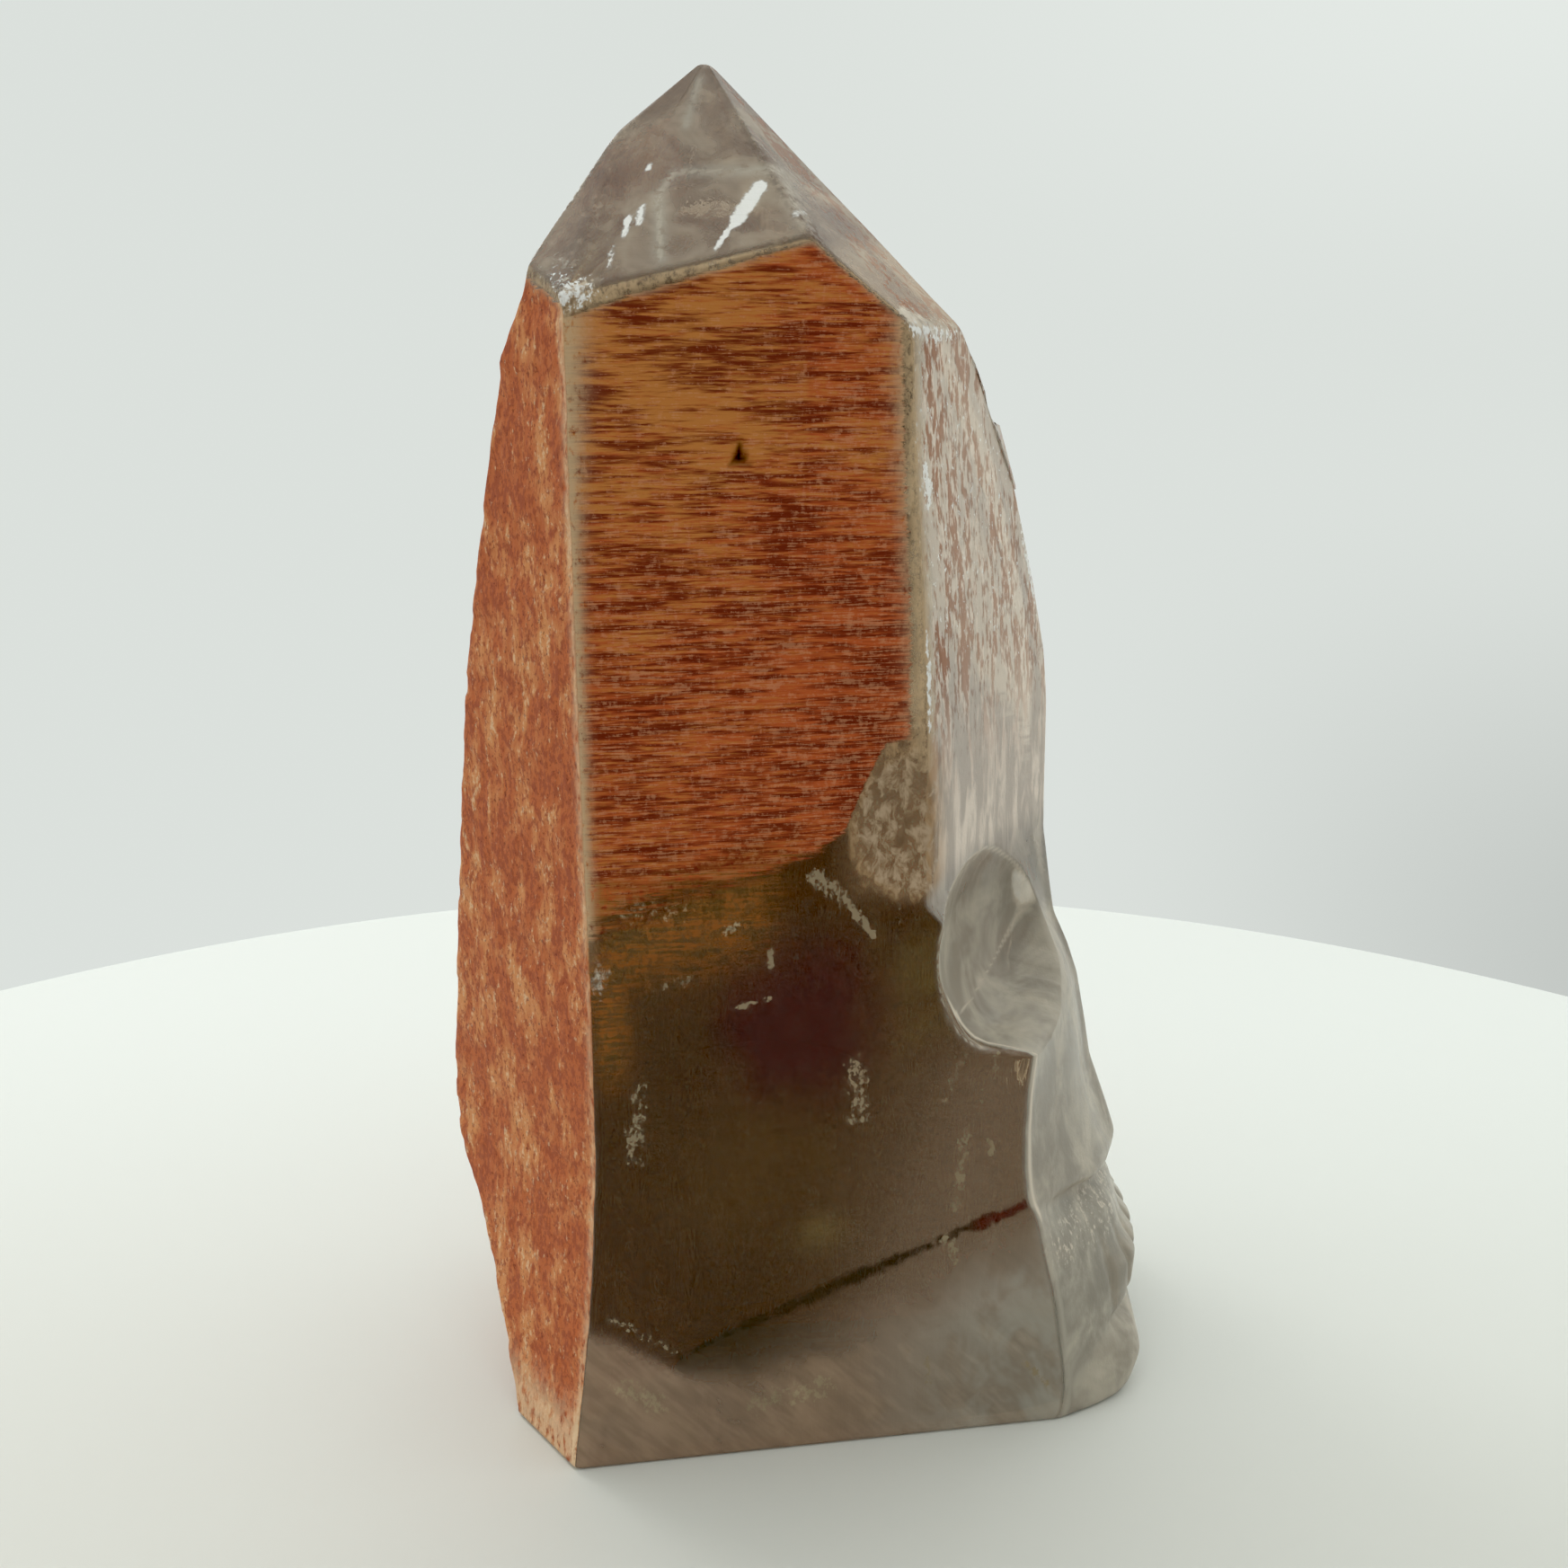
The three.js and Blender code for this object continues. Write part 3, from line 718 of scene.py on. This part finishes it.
# Edges of the pointed top: where the two nearest cuts are both close, and a wider one between the front cuts
gaps = np.array([distance - surface @ normal for normal, distance in topPlanes()])
ordered = np.sort(gaps, 0)
frontEdge = bell(gaps[0] - gaps[1] - 0.6, 0.9) * (np.minimum(gaps[0], gaps[1]) < 0.6) * smooth(126 - z, 0, 7)
topEdge = (0.45 * bell(ordered[1] - ordered[0], 0.35) + frontEdge) * (belowRim < 0)
nearHollow = (nearFlat + nearDepth ** 2 < 1.0) * columnMark("front", "right")
# Painted shade: the pit's hollow, coloured near black
pitShadeMark = front * smooth(-pitSpread, -pit["wide"] * 0.9, -0.2)

oliveMark = bell(np.hypot((x - 12.0) / 5.0, (z - 49.0) / 8.0), 1.0)
oliveMark = oliveMark + bell(np.hypot((x - 3.2) / 2.6, (z - 24.1) / 2.0), 1.0)
brokenMark = np.clip(breakFrost + front * smooth(x, 3, 8) * smooth(z, 54, 60) * (z < 76), 0, 1)
mossMark = front * np.maximum(
    (1 - smooth(z - lowerEdge, -1.0, 5.0)) * smooth(z - lowerEdge, -14, -3) * (1 - smooth(x, -4, 5)),
    bell(x - leftFront - 1.5, 2.8) * smooth(z, 34, 45) * (z < 60),
)
rustyMark = 0.30 + 0.3 * smooth(x, -8, 8) + 0.35 * smooth(98 - z, 0, 22) - 0.25 * bell(z - 103, 8) * (x < 2)
marginMark = front * (belowRim > 0) * np.maximum(
    bell(frontRight - x - 0.3, 1.3) * smooth(z, 66, 70), 1 - smooth(belowRim - topGap, -0.3, 0.5)
)
marginMark = marginMark + right * bell(edgeAway, 1.2) * smooth(z, 66, 70) * (belowRim > 0)
marginMark = marginMark + left * bell(belowRim - 0.4, 0.6)
edgeLeftWide = np.interp(z, [50, 85, 95, 108], [0.6, 0.8, 1.2, 1.9])
underside = np.arange(surface.shape[0]) < capRows + 1

# What each point of the surface carries: the coat in widths of its edge, the rest as strengths
marks = {
    "coat": coatMark,
    "glint": np.clip(glintMark, 0, 1),
    "flash": topGlint,
    "veil": oldCrystal,
    "corner": bell(cheekAway, 0.9) * (1 - smooth(z, 21, 24)),
    "tuft": tuftMark,
    # The front window's painted shade: where it turns wine red, smoke grey and paler olive
    "wine": front * bell(np.hypot((x - 1.5) / 8.5, (z - 46.0) / 10.0), 1.0),
    "smoky": front * smooth(x + (40 - z) * 0.3, 3, 22) * (1 - smooth(z, 38, 50)),
    "olive": front * oliveMark,
    "seam": np.clip(seamMark + seamEnd, 0, 1),
    "seamEnd": seamEnd,
    "greenish": smooth(x, 2, 26),
    "stain": polished * (0.75 + 0.25 * bell(edgeAway, 6)) * smooth(z, 62, 78),
    "faded": polished * (1 - smooth(z, 68, 86)) * smooth(belowRim, -0.3, 0.3),
    "ridge": topEdge,
    "frost": frostMark,
    "line": highlightLineMark,
    "pit": pitShadeMark,
    "front": front,
    "foot": footMark,
    "eye": nearHollow,
    "broken": brokenMark,
    "mouth": carved * bell(z - 19.0, 4.5) + carved * 0.6 * bell(z - 9.0, 2.0),
    "moss": mossMark,
    "rusty": front * np.clip(rustyMark, 0, 1),
    "margin": marginMark,
    "pale": left * (1 - smooth(z, 2, 9)) + left * bell(x - leftFront, 0.5),
    "clear": polished * smooth(belowRim, -0.3, 0.3),
    "edgeLeft": front * bell(x - leftFront, edgeLeftWide) * smooth(z, 50, 56),
    "skull": carved,
    "base": np.broadcast_to(underside[:, None] * 1.0, z.shape),
    "top": smooth(-belowRim, -0.3, 0.6),
}
body = gridPiece("crystal", surface, bottomMiddle, tipMiddle, marks)
print("crystal:", len(body.data.polygons), "faces")

print("crystal: quartz and its coat")
quartz = {
    "ior": 1.544,
    "smoke": (0.78, 0.66, 0.48, 1),  # what a ray keeps, by colour
    "smokeDensity": 60.0,
    "polish": 0.02,
    # front coat
    "gold": (0.55, 0.215, 0.066, 1),
    "rust": (0.50, 0.112, 0.044, 1),
    "maroon": (0.155, 0.029, 0.021, 1),
    "palePinkStreaks": (0.64, 0.30, 0.16, 1),
    "moss": (0.30, 0.17, 0.05, 1),
    # left and back coat
    "terracotta": (0.56, 0.160, 0.065, 1),
    "paleOrange": (0.74, 0.33, 0.14, 1),
    "brick": (0.37, 0.095, 0.050, 1),
    "cream": (0.85, 0.60, 0.38, 1),
    # edges, breaks and films
    "seam": (0.62, 0.44, 0.27, 1),
    "frost": (0.80, 0.70, 0.58, 1),
    "stain": (0.40, 0.17, 0.09, 1),
    "taupe": (0.51, 0.35, 0.245, 1),
    "shale": (0.56, 0.36, 0.20, 1),
    "mist": (0.66, 0.59, 0.49, 1),
    "tip": (0.45, 0.30, 0.21, 1),
    "tipPale": (0.60, 0.48, 0.36, 1),
    "blush": (1.0, 0.86, 0.74, 1),
    "bark": (0.10, 0.05, 0.03, 1),
    # the clear window in the front: painted shade of the coated back seen through it, dark olive and wine
    # red, with paler olive and smoke grey
    "olive": (0.190, 0.095, 0.026, 1),
    "oliveBright": (0.40, 0.26, 0.08, 1),
    "wine": (0.115, 0.016, 0.014, 1),
    "smokeGrey": (0.40, 0.28, 0.19, 1),
    "white": (0.97, 0.95, 0.92, 1),
    "umber": (0.36, 0.13, 0.04, 1),
    # painted shade of the pit's hollow
    "pit": (0.02, 0.008, 0.005, 1),
    "dark": (0.060, 0.038, 0.016, 1),
    "tuft": (0.54, 0.42, 0.27, 1),
    "beige": (0.86, 0.77, 0.63, 1),
}


def quartzMaterial():
    material, r = newMaterial("quartz")
    faceTurn = (0, 0, math.radians(-9))  # the front face looks 9 degrees to the right
    coatMark, frostMark, highlightLineMark = r.mark("coat"), r.mark("frost"), r.mark("line")
    front, clear, skull = r.mark("front"), r.mark("clear"), r.mark("skull")
    base, top, foot, moss = r.mark("base"), r.mark("top"), r.mark("foot"), r.mark("moss")

    # Front coat: gold and rust ground with short level dashes at two sizes, crowded in some places,
    # and pale pinkish streaks
    dashes = r.noise(r.place((0.15, 0.6, 1.5), faceTurn), 1.0, 3.0, 0.62, 0.2)
    threads = r.noise(r.place((0.32, 0.8, 4.2), faceTurn), 1.0, 3.0, 0.62)
    patches = r.noise(r.place((0.11, 0.11, 0.17), faceTurn), 1.0, 3.0, 0.55)
    hairs = r.noise(r.place((0.45, 0.8, 8.0), faceTurn), 1.0, 2.0, 0.6)
    specks = r.noise(r.place((2.4, 2.4, 2.4)), 1.0, 2.0, 0.5)
    crust = r.noise(r.place((1.7, 1.7, 1.2)), 1.0, 3.5, 0.72)
    ground = r.step(patches * 0.25 + threads * 0.55 + crust * 0.2 + r.mark("rusty") * 0.24, 0.48, 0.70)
    frontColour = r.blend(ground, quartz["gold"], quartz["rust"])
    dash = dashes * 0.60 + threads * 0.40 + (patches - 0.5) * 0.22 + (r.mark("rusty") - 0.6) * 0.05
    frontColour = r.blend(r.step(dash, 0.42, 0.60) * 0.92, frontColour, quartz["maroon"])
    palePinkStreaks = r.step(hairs + (crust - 0.5) * 0.9 + r.mark("rusty") * 0.08, 0.56, 0.72)
    frontColour = r.blend(palePinkStreaks * 0.50, frontColour, quartz["palePinkStreaks"])
    mossColour = r.blend(r.step(threads * 0.6 + crust * 0.4, 0.40, 0.58), quartz["moss"], quartz["umber"])
    frontColour = r.blend(moss * r.step(crust, 0.35, 0.60) * 0.8, frontColour, mossColour)

    # Coat of the left and back: fine crust with soft pale patches, cream and dark specks
    drifts = r.noise(r.place((0.30, 0.30, 0.16)), 1.0, 2.5, 0.6, 0.3)
    scour = r.noise(r.place((1.3, 1.3, 0.55)), 1.0, 3.0, 0.72)
    softPatches = r.step(drifts * 0.72 + scour * 0.28, 0.45, 0.62) * 0.85
    sideColour = r.blend(softPatches, quartz["terracotta"], quartz["paleOrange"])
    sideColour = r.blend(r.step(crust - drifts * 0.35, 0.30, 0.42) * 0.8, sideColour, quartz["brick"])
    creamPatches = r.step(scour + (specks - 0.5) * 0.6 + (drifts - 0.5) * 0.5, 0.60, 0.76) * 0.65
    sideColour = r.blend(creamPatches, sideColour, quartz["cream"])
    sideColour = r.blend(r.step(specks - scour * 0.3, 0.49, 0.57) * 0.6, sideColour, quartz["maroon"])
    sideColour = r.blend(r.mark("pale") * r.step(scour, 0.30, 0.55) * 0.75, sideColour, quartz["cream"])

    coatColour = r.blend(r.step(front, 0.45, 0.8) * r.step(coatMark, -3.0, -1.0), sideColour, frontColour)
    bare = r.larger(r.mark("edgeLeft"), r.mark("margin"))
    coatColour = r.blend(bare * r.step(crust, 0.25, 0.50) * 0.9, coatColour, quartz["seam"])
    # Painted shade: the pit is coloured near black
    coatColour = r.blend(r.mark("pit"), coatColour, quartz["pit"])

    # Where the coat lies: its edge is ragged along the fine dashes
    coatHere = r.step(coatMark + (threads - 0.5) * 3.0, -0.5, 0.5)

    # Film on the clear faces: red streaks up and down, pale frost between them,
    # mist over the carving and the top
    streaks = r.noise(r.place((0.50, 0.50, 0.13)), 1.0, 3.0, 0.62, 0.7)
    flecks = r.noise(r.place((1.8, 1.8, 0.6)), 1.0, 3.0, 0.6)
    chips = r.noise(r.place((0.9, 0.9, 0.6)), 1.0, 3.5, 0.72, 0.4)
    milk = r.noise(r.place((0.17, 0.17, 0.13)), 1.0, 3.0, 0.62, 0.5)
    stained = r.step(streaks * 0.60 + flecks * 0.60, 0.56, 0.67) * r.mark("stain")
    slant = r.noise(r.place((0.75, 0.75, 0.14), (0, 0.75, 0)), 1.0, 2.0, 0.6)
    frosted = r.step(chips + (frostMark - 0.5) * 0.35, 0.50, 0.72) * r.step(frostMark, 0.05, 0.35)
    hatch = r.step(crust * 0.6 + flecks * 0.4, 0.47, 0.60) * r.mark("mouth")
    broken = r.mark("broken")
    haze = clear * (0.52 + 0.30 * r.step(streaks, 0.40, 0.65)) - r.mark("faded") * 0.06
    haze = haze + skull * (0.40 + 0.34 * r.step(milk, 0.35, 0.70)) + r.mark("eye") * 0.05
    haze = haze + top * (0.32 + 0.22 * r.step(milk, 0.35, 0.70) + r.mark("greenish") * 0.25)
    haze = r.larger(haze, 0.27 + r.mark("smoky") * (0.16 + 0.16 * slant))
    footHaze = 0.40 + 0.26 * r.step(milk, 0.25, 0.80) + 0.20 * r.step(slant, 0.30, 0.80)
    footHaze = footHaze - r.mark("greenish") * 0.12
    haze = r.larger(haze, foot * footHaze)
    haze = r.larger(haze, broken * (0.30 + 0.45 * r.step(chips, 0.35, 0.65)))
    mossHere = moss * (1 - coatHere)
    haze = r.larger(haze, mossHere * (0.35 + 0.55 * r.step(crust * 0.5 + threads * 0.5, 0.40, 0.60)))
    footColour = r.blend(r.mark("greenish"), quartz["taupe"], quartz["mist"])
    footColour = r.blend(r.step(milk, 0.42, 0.60) * 0.5, footColour, quartz["smokeGrey"])
    # The front window's film paints the shade of the coated back seen through the front: dark olive with
    # paler olive patches, wine red in the middle, smoke grey towards the lower right
    bright = r.mark("olive") * r.step(milk, 0.35, 0.60)
    windowShadeColour = r.blend(bright, quartz["olive"], quartz["oliveBright"])
    wine = r.step(r.mark("wine") + (milk - 0.5) * 0.9, 0.15, 0.85)
    windowShadeColour = r.blend(wine, windowShadeColour, quartz["wine"])
    windowShadeColour = r.blend(r.mark("smoky") * 0.85, windowShadeColour, quartz["smokeGrey"])
    filmColour = r.blend(front, quartz["mist"], windowShadeColour)
    filmColour = r.blend(foot, filmColour, footColour)
    tipColour = r.blend(r.step(milk, 0.35, 0.70), quartz["tip"], quartz["tipPale"])
    filmColour = r.blend(top, filmColour, tipColour)
    filmColour = r.blend(clear, filmColour, quartz["blush"])
    ridge = r.mark("ridge") * r.step(flecks, 0.35, 0.55)
    filmColour = r.blend(ridge * 0.8, filmColour, quartz["bark"])
    filmColour = r.blend(broken, filmColour, quartz["shale"])
    filmColour = r.blend(mossHere, filmColour, mossColour)
    filmColour = r.blend(stained, filmColour, quartz["stain"])
    filmColour = r.blend(r.larger(frosted * (1 - broken * 0.7), hatch), filmColour, quartz["frost"])
    filmHere = r.larger(stained * 0.75, haze)
    filmHere = r.larger(filmHere, frosted * (0.75 - 0.45 * broken))
    filmHere = r.larger(filmHere, hatch * 0.75)
    filmHere = r.larger(filmHere, bare * 0.80 * r.step(crust, 0.20, 0.60))
    filmColour = r.blend(bare, filmColour, quartz["seam"])
    # Painted highlight along the eye rim and the cheek edge, in frost colour
    filmColour = r.blend(highlightLineMark, filmColour, quartz["frost"])
    filmHere = r.larger(filmHere, ridge * 0.75)
    filmColour = r.blend(r.mark("corner"), filmColour, quartz["mist"])
    filmHere = r.larger(filmHere, r.mark("corner") * 0.6)
    oldCrystal = r.mark("veil") * r.step(chips, 0.26, 0.52)
    filmColour = r.blend(oldCrystal * 0.85, filmColour, quartz["beige"])
    filmHere = r.larger(filmHere, oldCrystal * 0.65)
    seam = r.step(r.mark("seam") + (chips - 0.5) * 1.3, 0.35, 0.95)
    seamColour = r.blend(r.mark("seamEnd"), quartz["dark"], quartz["maroon"])
    filmColour = r.blend(seam, filmColour, seamColour)
    filmHere = r.larger(filmHere, seam * 0.6)
    tuft = r.step(r.mark("tuft") + (crust - 0.5) * 2.2, 0.52, 0.84)
    filmColour = r.blend(tuft, filmColour, quartz["tuft"])
    filmHere = r.larger(filmHere, tuft * 0.55)
    shine = r.step(r.mark("glint") + (crust - 0.5) * 2.2, 0.58, 0.82)
    shine = r.larger(shine, r.step(r.mark("flash") + (crust - 0.5) * 0.9, 0.35, 0.70))
    filmColour = r.blend(shine, filmColour, quartz["white"])
    filmHere = r.larger(filmHere, shine * 0.9)
    # The painted highlight line covers the glass
    filmHere = r.larger(filmHere, highlightLineMark * 0.9)
    filmHere = r.larger(filmHere, base * 0.9)

    colour = r.blend(coatHere, filmColour, coatColour)
    cover = r.larger(coatHere, filmHere)

    height = dash * front * 0.5 + (crust * 0.6 + scour * 0.4) * (1 - front * 0.7) + frosted * 0.3
    bump = r.node("ShaderNodeBump", None, {"Height": height, "Distance": 0.0002, "Strength": 0.8})
    shallow = r.node("ShaderNodeBump", None, {"Height": streaks, "Distance": 0.0002, "Strength": 0.35})
    glass = r.principled({
        "Base Color": (1, 1, 1, 1),
        "Roughness": frostMark * 0.3 + skull * 0.12 + quartz["polish"],
        "IOR": quartz["ior"],
        "Transmission Weight": 1.0,
        "Normal": shallow,
    })
    film = r.principled({"Base Color": colour, "Roughness": 0.62, "Normal": bump, "Specular IOR Level": 0.2})
    both = r.mixShader(cover, glass, film)
    absorb = r.node(
        "ShaderNodeVolumeAbsorption", None, {"Color": quartz["smoke"], "Density": quartz["smokeDensity"]}
    )
    r.node("ShaderNodeOutputMaterial", None, {"Surface": both, "Volume": absorb})
    return material


body.data.materials.append(quartzMaterial())
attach(body, "root")
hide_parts("skull_point")

phantom = {
    "inset": 5.0,
    "bottom": 62.0,
    "top": 116.0,
    "around": 144,
    "up": 60,
    "body": (0.30, 0.19, 0.12, 1),
    "edge": (0.70, 0.58, 0.42, 1),
}


def phantomForm():
    # An older, smaller crystal inside: at each direction and height the nearest of the inset faces
    turn = np.linspace(0, 2 * pi, phantom["around"], endpoint=False)
    height = np.linspace(phantom["bottom"], phantom["top"], phantom["up"])[:, None]
    centre = np.array([-2.5, -1.0])
    ways = np.stack([np.cos(turn), np.sin(turn)], -1)
    limits = []
    for name, angle in crystal["angle"].items():
        normal = np.array([math.cos(math.radians(angle)), math.sin(math.radians(angle))])
        slope = ways @ normal
        gap = reachOf(name, height) - phantom["inset"] - centre @ normal
        limits.append(np.where(slope > 0.02, gap / np.maximum(slope, 0.02), 99.0))
    for normal, distance in topPlanes():
        slope = ways @ normal[:2]
        gap = distance - phantom["inset"] - centre @ normal[:2] - height * normal[2]
        limits.append(np.where(slope > 0.02, gap / np.maximum(slope, 0.02), 99.0))
    ordered = np.sort(np.stack(limits), 0)
    radius = np.clip(ordered[0], 0.4, 40)
    ridge = bell(ordered[1] - ordered[0], 0.7)
    flat = centre + radius[..., None] * ways
    points = np.concatenate([flat, np.broadcast_to(height, radius.shape)[..., None]], -1)
    return points, ridge


def lens(name, place, along, size, facing, bow, seed):
    # A thin closed sheet: a stretched round lens, bowed and rippled, with across running to 1 at its rim
    ripple, thick = 0.4, 0.12
    along = np.array(along, float) / np.linalg.norm(along)
    facing = np.array(facing, float)
    facing = facing - along * (facing @ along)
    facing /= np.linalg.norm(facing)
    up = np.cross(facing, along)
    steps = np.linspace(0.06, 1, 16)
    radius = np.concatenate([steps, steps[-2::-1]])[:, None]
    side = np.concatenate([-np.ones(16), np.ones(15)])[:, None]
    turn = np.linspace(0, 2 * pi, 48, endpoint=False)
    u, v = radius * np.cos(turn), radius * np.sin(turn)
    flat = np.array(place) + u[..., None] * size[0] * along + v[..., None] * size[1] * up
    lift = bow * (1 - radius ** 2) + side * thick / 2 * np.sqrt(np.clip(1 - radius ** 2, 0, 1))
    wave = (grain(flat, max(size) / 2.5, seed) - 0.5) * ripple
    points = flat + (lift + wave)[..., None] * facing
    across = np.broadcast_to(radius, u.shape)
    return gridPiece(name, points, points[0].mean(0), points[-1].mean(0), {"across": across})


def veilMaterial(name, colour, most, size):
    # A soft cloud: fading out towards the rim along a wandering line
    material, r = newMaterial(name)
    wander = r.noise(r.place((1 / size, 1 / size, 0.8 / size)), 1.0, 4.0, 0.6, 0.4)
    fade = 1 - r.step(r.mark("across") + (wander - 0.5) * 1.3, 0.05, 0.95)
    sockets = {"Base Color": colour, "Roughness": 0.8, "Specular IOR Level": 0.2, "Alpha": fade * most}
    shader = r.principled(sockets)
    r.node("ShaderNodeOutputMaterial", None, {"Surface": shader})
    return material


print("inside: phantom and veils")
points, ridge = phantomForm()
fadeDown = smooth(points[..., 2], phantom["bottom"], 80)
ghostMarks = {"ridge": ridge, "upper": fadeDown}
ghost = gridPiece("phantom", points, points[0].mean(0), points[-1].mean(0), ghostMarks)
material, r = newMaterial("phantomFilm")
cloud = r.noise(r.place((0.2, 0.2, 0.2)), 1.0, 5.0, 0.6, 0.5)
ghostColour = r.blend(r.mark("ridge"), phantom["body"], phantom["edge"])
ghostAlpha = 0.10 + 0.40 * r.step(cloud, 0.38, 0.66) + 0.6 * r.mark("ridge") * r.step(cloud, 0.36, 0.50)
shader = r.principled({"Base Color": ghostColour, "Roughness": 0.8, "Alpha": ghostAlpha * r.mark("upper")})
r.node("ShaderNodeOutputMaterial", None, {"Surface": shader})
ghost.data.materials.append(material)

front = (0.156, -0.988, 0.0)
# Two sheets inside the window, wine red and olive brown, paint the shade of the coated back seen through the
# front
wine = veilMaterial("wineShadeCloud", (0.18, 0.020, 0.016, 1), 0.6, 9.0)
moss = veilMaterial("oliveShadeCloud", (0.38, 0.215, 0.065, 1), 0.35, 9.0)

# name, place, long direction, half sizes, facing, material, bow
veils = [
    ("wineShadeCloud", (1.5, -16.0, 44.0), (0.25, 0, 1), (12.0, 11.5), front, wine, 1.5),
    ("oliveShadeSheet", (-4.0, -12.0, 27.0), (1, 0.15, 0.1), (17.0, 14.0), front, moss, 1.2),
]
inner = [ghost]
for name, place, along, size, facing, veil, bow in veils:
    piece = lens(name, place, along, size, facing, bow=bow, seed=len(inner) * 3.7)
    piece.data.materials.append(veil)
    inner.append(piece)
for piece in inner:
    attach(piece, "root")

studio = {
    "tableMiddle": (-2.0, -48.0),
    "tableRadius": 198.0,
    "tableThick": 8.0,
    # the table's colour: painted shade, lighter at the back and darker at the front
    "tableLitFar": (0.79, 0.80, 0.775, 1),
    "tableShadedNear": (0.61, 0.59, 0.54, 1),
    "skyColour": (0.716, 0.753, 0.723, 1),
    "skyStrength": 1.0,
    "skyAbove": 0.80,
    "skyFront": 0.55,
    "camera": (0.0, -154.0, 103.35),
    "cameraTilt": 75.0,
}


def roundTable():
    # A flat round plate with a rounded rim: a profile of radius and height turned about an upright axis
    radius, thick = studio["tableRadius"], studio["tableThick"]
    bend = np.radians(np.linspace(90, -90, 9))
    half = thick / 2
    flat = np.linspace(0.05, 0.97, 12) * radius
    profileR = np.concatenate([flat, radius - half + half * np.cos(bend), [radius * 0.5]])
    profileZ = np.concatenate([np.zeros(12), -half + half * np.sin(bend), [-thick]])
    turn = np.linspace(0, 2 * pi, 256, endpoint=False)
    x = studio["tableMiddle"][0] + profileR[:, None] * np.cos(turn)
    y = studio["tableMiddle"][1] + profileR[:, None] * np.sin(turn)
    z = profileZ[:, None] + 0 * x
    points = np.stack([x, y, z], -1)[::-1]
    centre = np.array([*studio["tableMiddle"], 0.0])
    return gridPiece("table", points, centre - [0, 0, thick], centre, {})


table = roundTable()
paint, r = newMaterial("tablePaint")
where = r.node("ShaderNodeTexCoord", output="Object")
towardsBack = r.node("ShaderNodeSeparateXYZ", None, {0: where}, output="Y")
# Painted shade: the table darkens towards the front and lightens towards the back, as the light falls from
# behind
tableShadeColour = r.blend(r.step(towardsBack, -0.14, 0.10), studio["tableShadedNear"], studio["tableLitFar"])
plain = r.principled({"Base Color": tableShadeColour, "Roughness": 0.6})
r.node("ShaderNodeOutputMaterial", None, {"Surface": plain})
table.data.materials.append(paint)

scene = bpy.context.scene
world = bpy.data.worlds.new("studio")
world.use_nodes = True
scene.world = world
r = Recipe(world.node_tree)
where = r.node("ShaderNodeTexCoord")
toRight, toBack, toSky = (r.node("ShaderNodeSeparateXYZ", None, {0: where}, output=axis) for axis in "XYZ")
# The light the stone receives: the whole sky behind it, less in front, more from above
above = r.step(toSky, 0.30, 0.75) * studio["skyAbove"]
room = r.step(toBack, -0.6, 0.35) * (studio["skyStrength"] - studio["skyFront"]) + studio["skyFront"]
# The wall as the camera sees it: darker low at the right, lighter high at the right
low = r.step(toRight, 0.15, 0.55) * (1 - r.step(toSky, -0.34, -0.05)) * 0.26
high = r.step(toRight, -0.1, 0.45) * r.step(toSky, 0.0, 0.22) * 0.10
seen = r.node("ShaderNodeLightPath", output="Is Camera Ray")
strength = seen * (studio["skyStrength"] - low + high) + (1 - seen) * (room + above)
sky = r.node("ShaderNodeBackground", None, {"Color": studio["skyColour"], "Strength": strength})
r.node("ShaderNodeOutputWorld", None, {"Surface": sky})


def areaLight(name, place, target, size, power):
    light = bpy.data.lights.new(name, "AREA")
    light.shape = "RECTANGLE"
    light.size, light.size_y = size
    light.energy = power
    lamp = bpy.data.objects.new(name, light)
    lamp.location = Vector(place)
    lamp.rotation_euler = (Vector(target) - Vector(place)).to_track_quat("-Z", "Y").to_euler()
    scene.collection.objects.link(lamp)


areaLight("lampBehind", (-0.28, 0.25, 0.45), (0, 0, 0.06), (0.16, 0.10), 0.35)

camera = bpy.data.cameras.new("camera")
camera.lens = 36
camera.sensor_width = 36
camera.clip_start = 0.005
camera.clip_end = 20
view = bpy.data.objects.new("camera", camera)
view.location = (np.array(studio["camera"]) + middle) * toMetres
view.rotation_euler = (math.radians(studio["cameraTilt"]), 0, 0)
scene.collection.objects.link(view)
scene.camera = view

scene.view_settings.view_transform = "Standard"
scene.view_settings.use_curve_mapping = True
scene.view_settings.curve_mapping.black_level = (0.018, 0.018, 0.018)
scene.view_settings.curve_mapping.update()
scene.cycles.use_denoising = True
scene.cycles.use_adaptive_sampling = True
scene.cycles.adaptive_threshold = 0.2
scene.cycles.max_bounces = 8
scene.cycles.transmission_bounces = 8
scene.cycles.transparent_max_bounces = 8
scene.cycles.diffuse_bounces = 2
scene.cycles.glossy_bounces = 8
scene.cycles.sample_clamp_indirect = 4.0
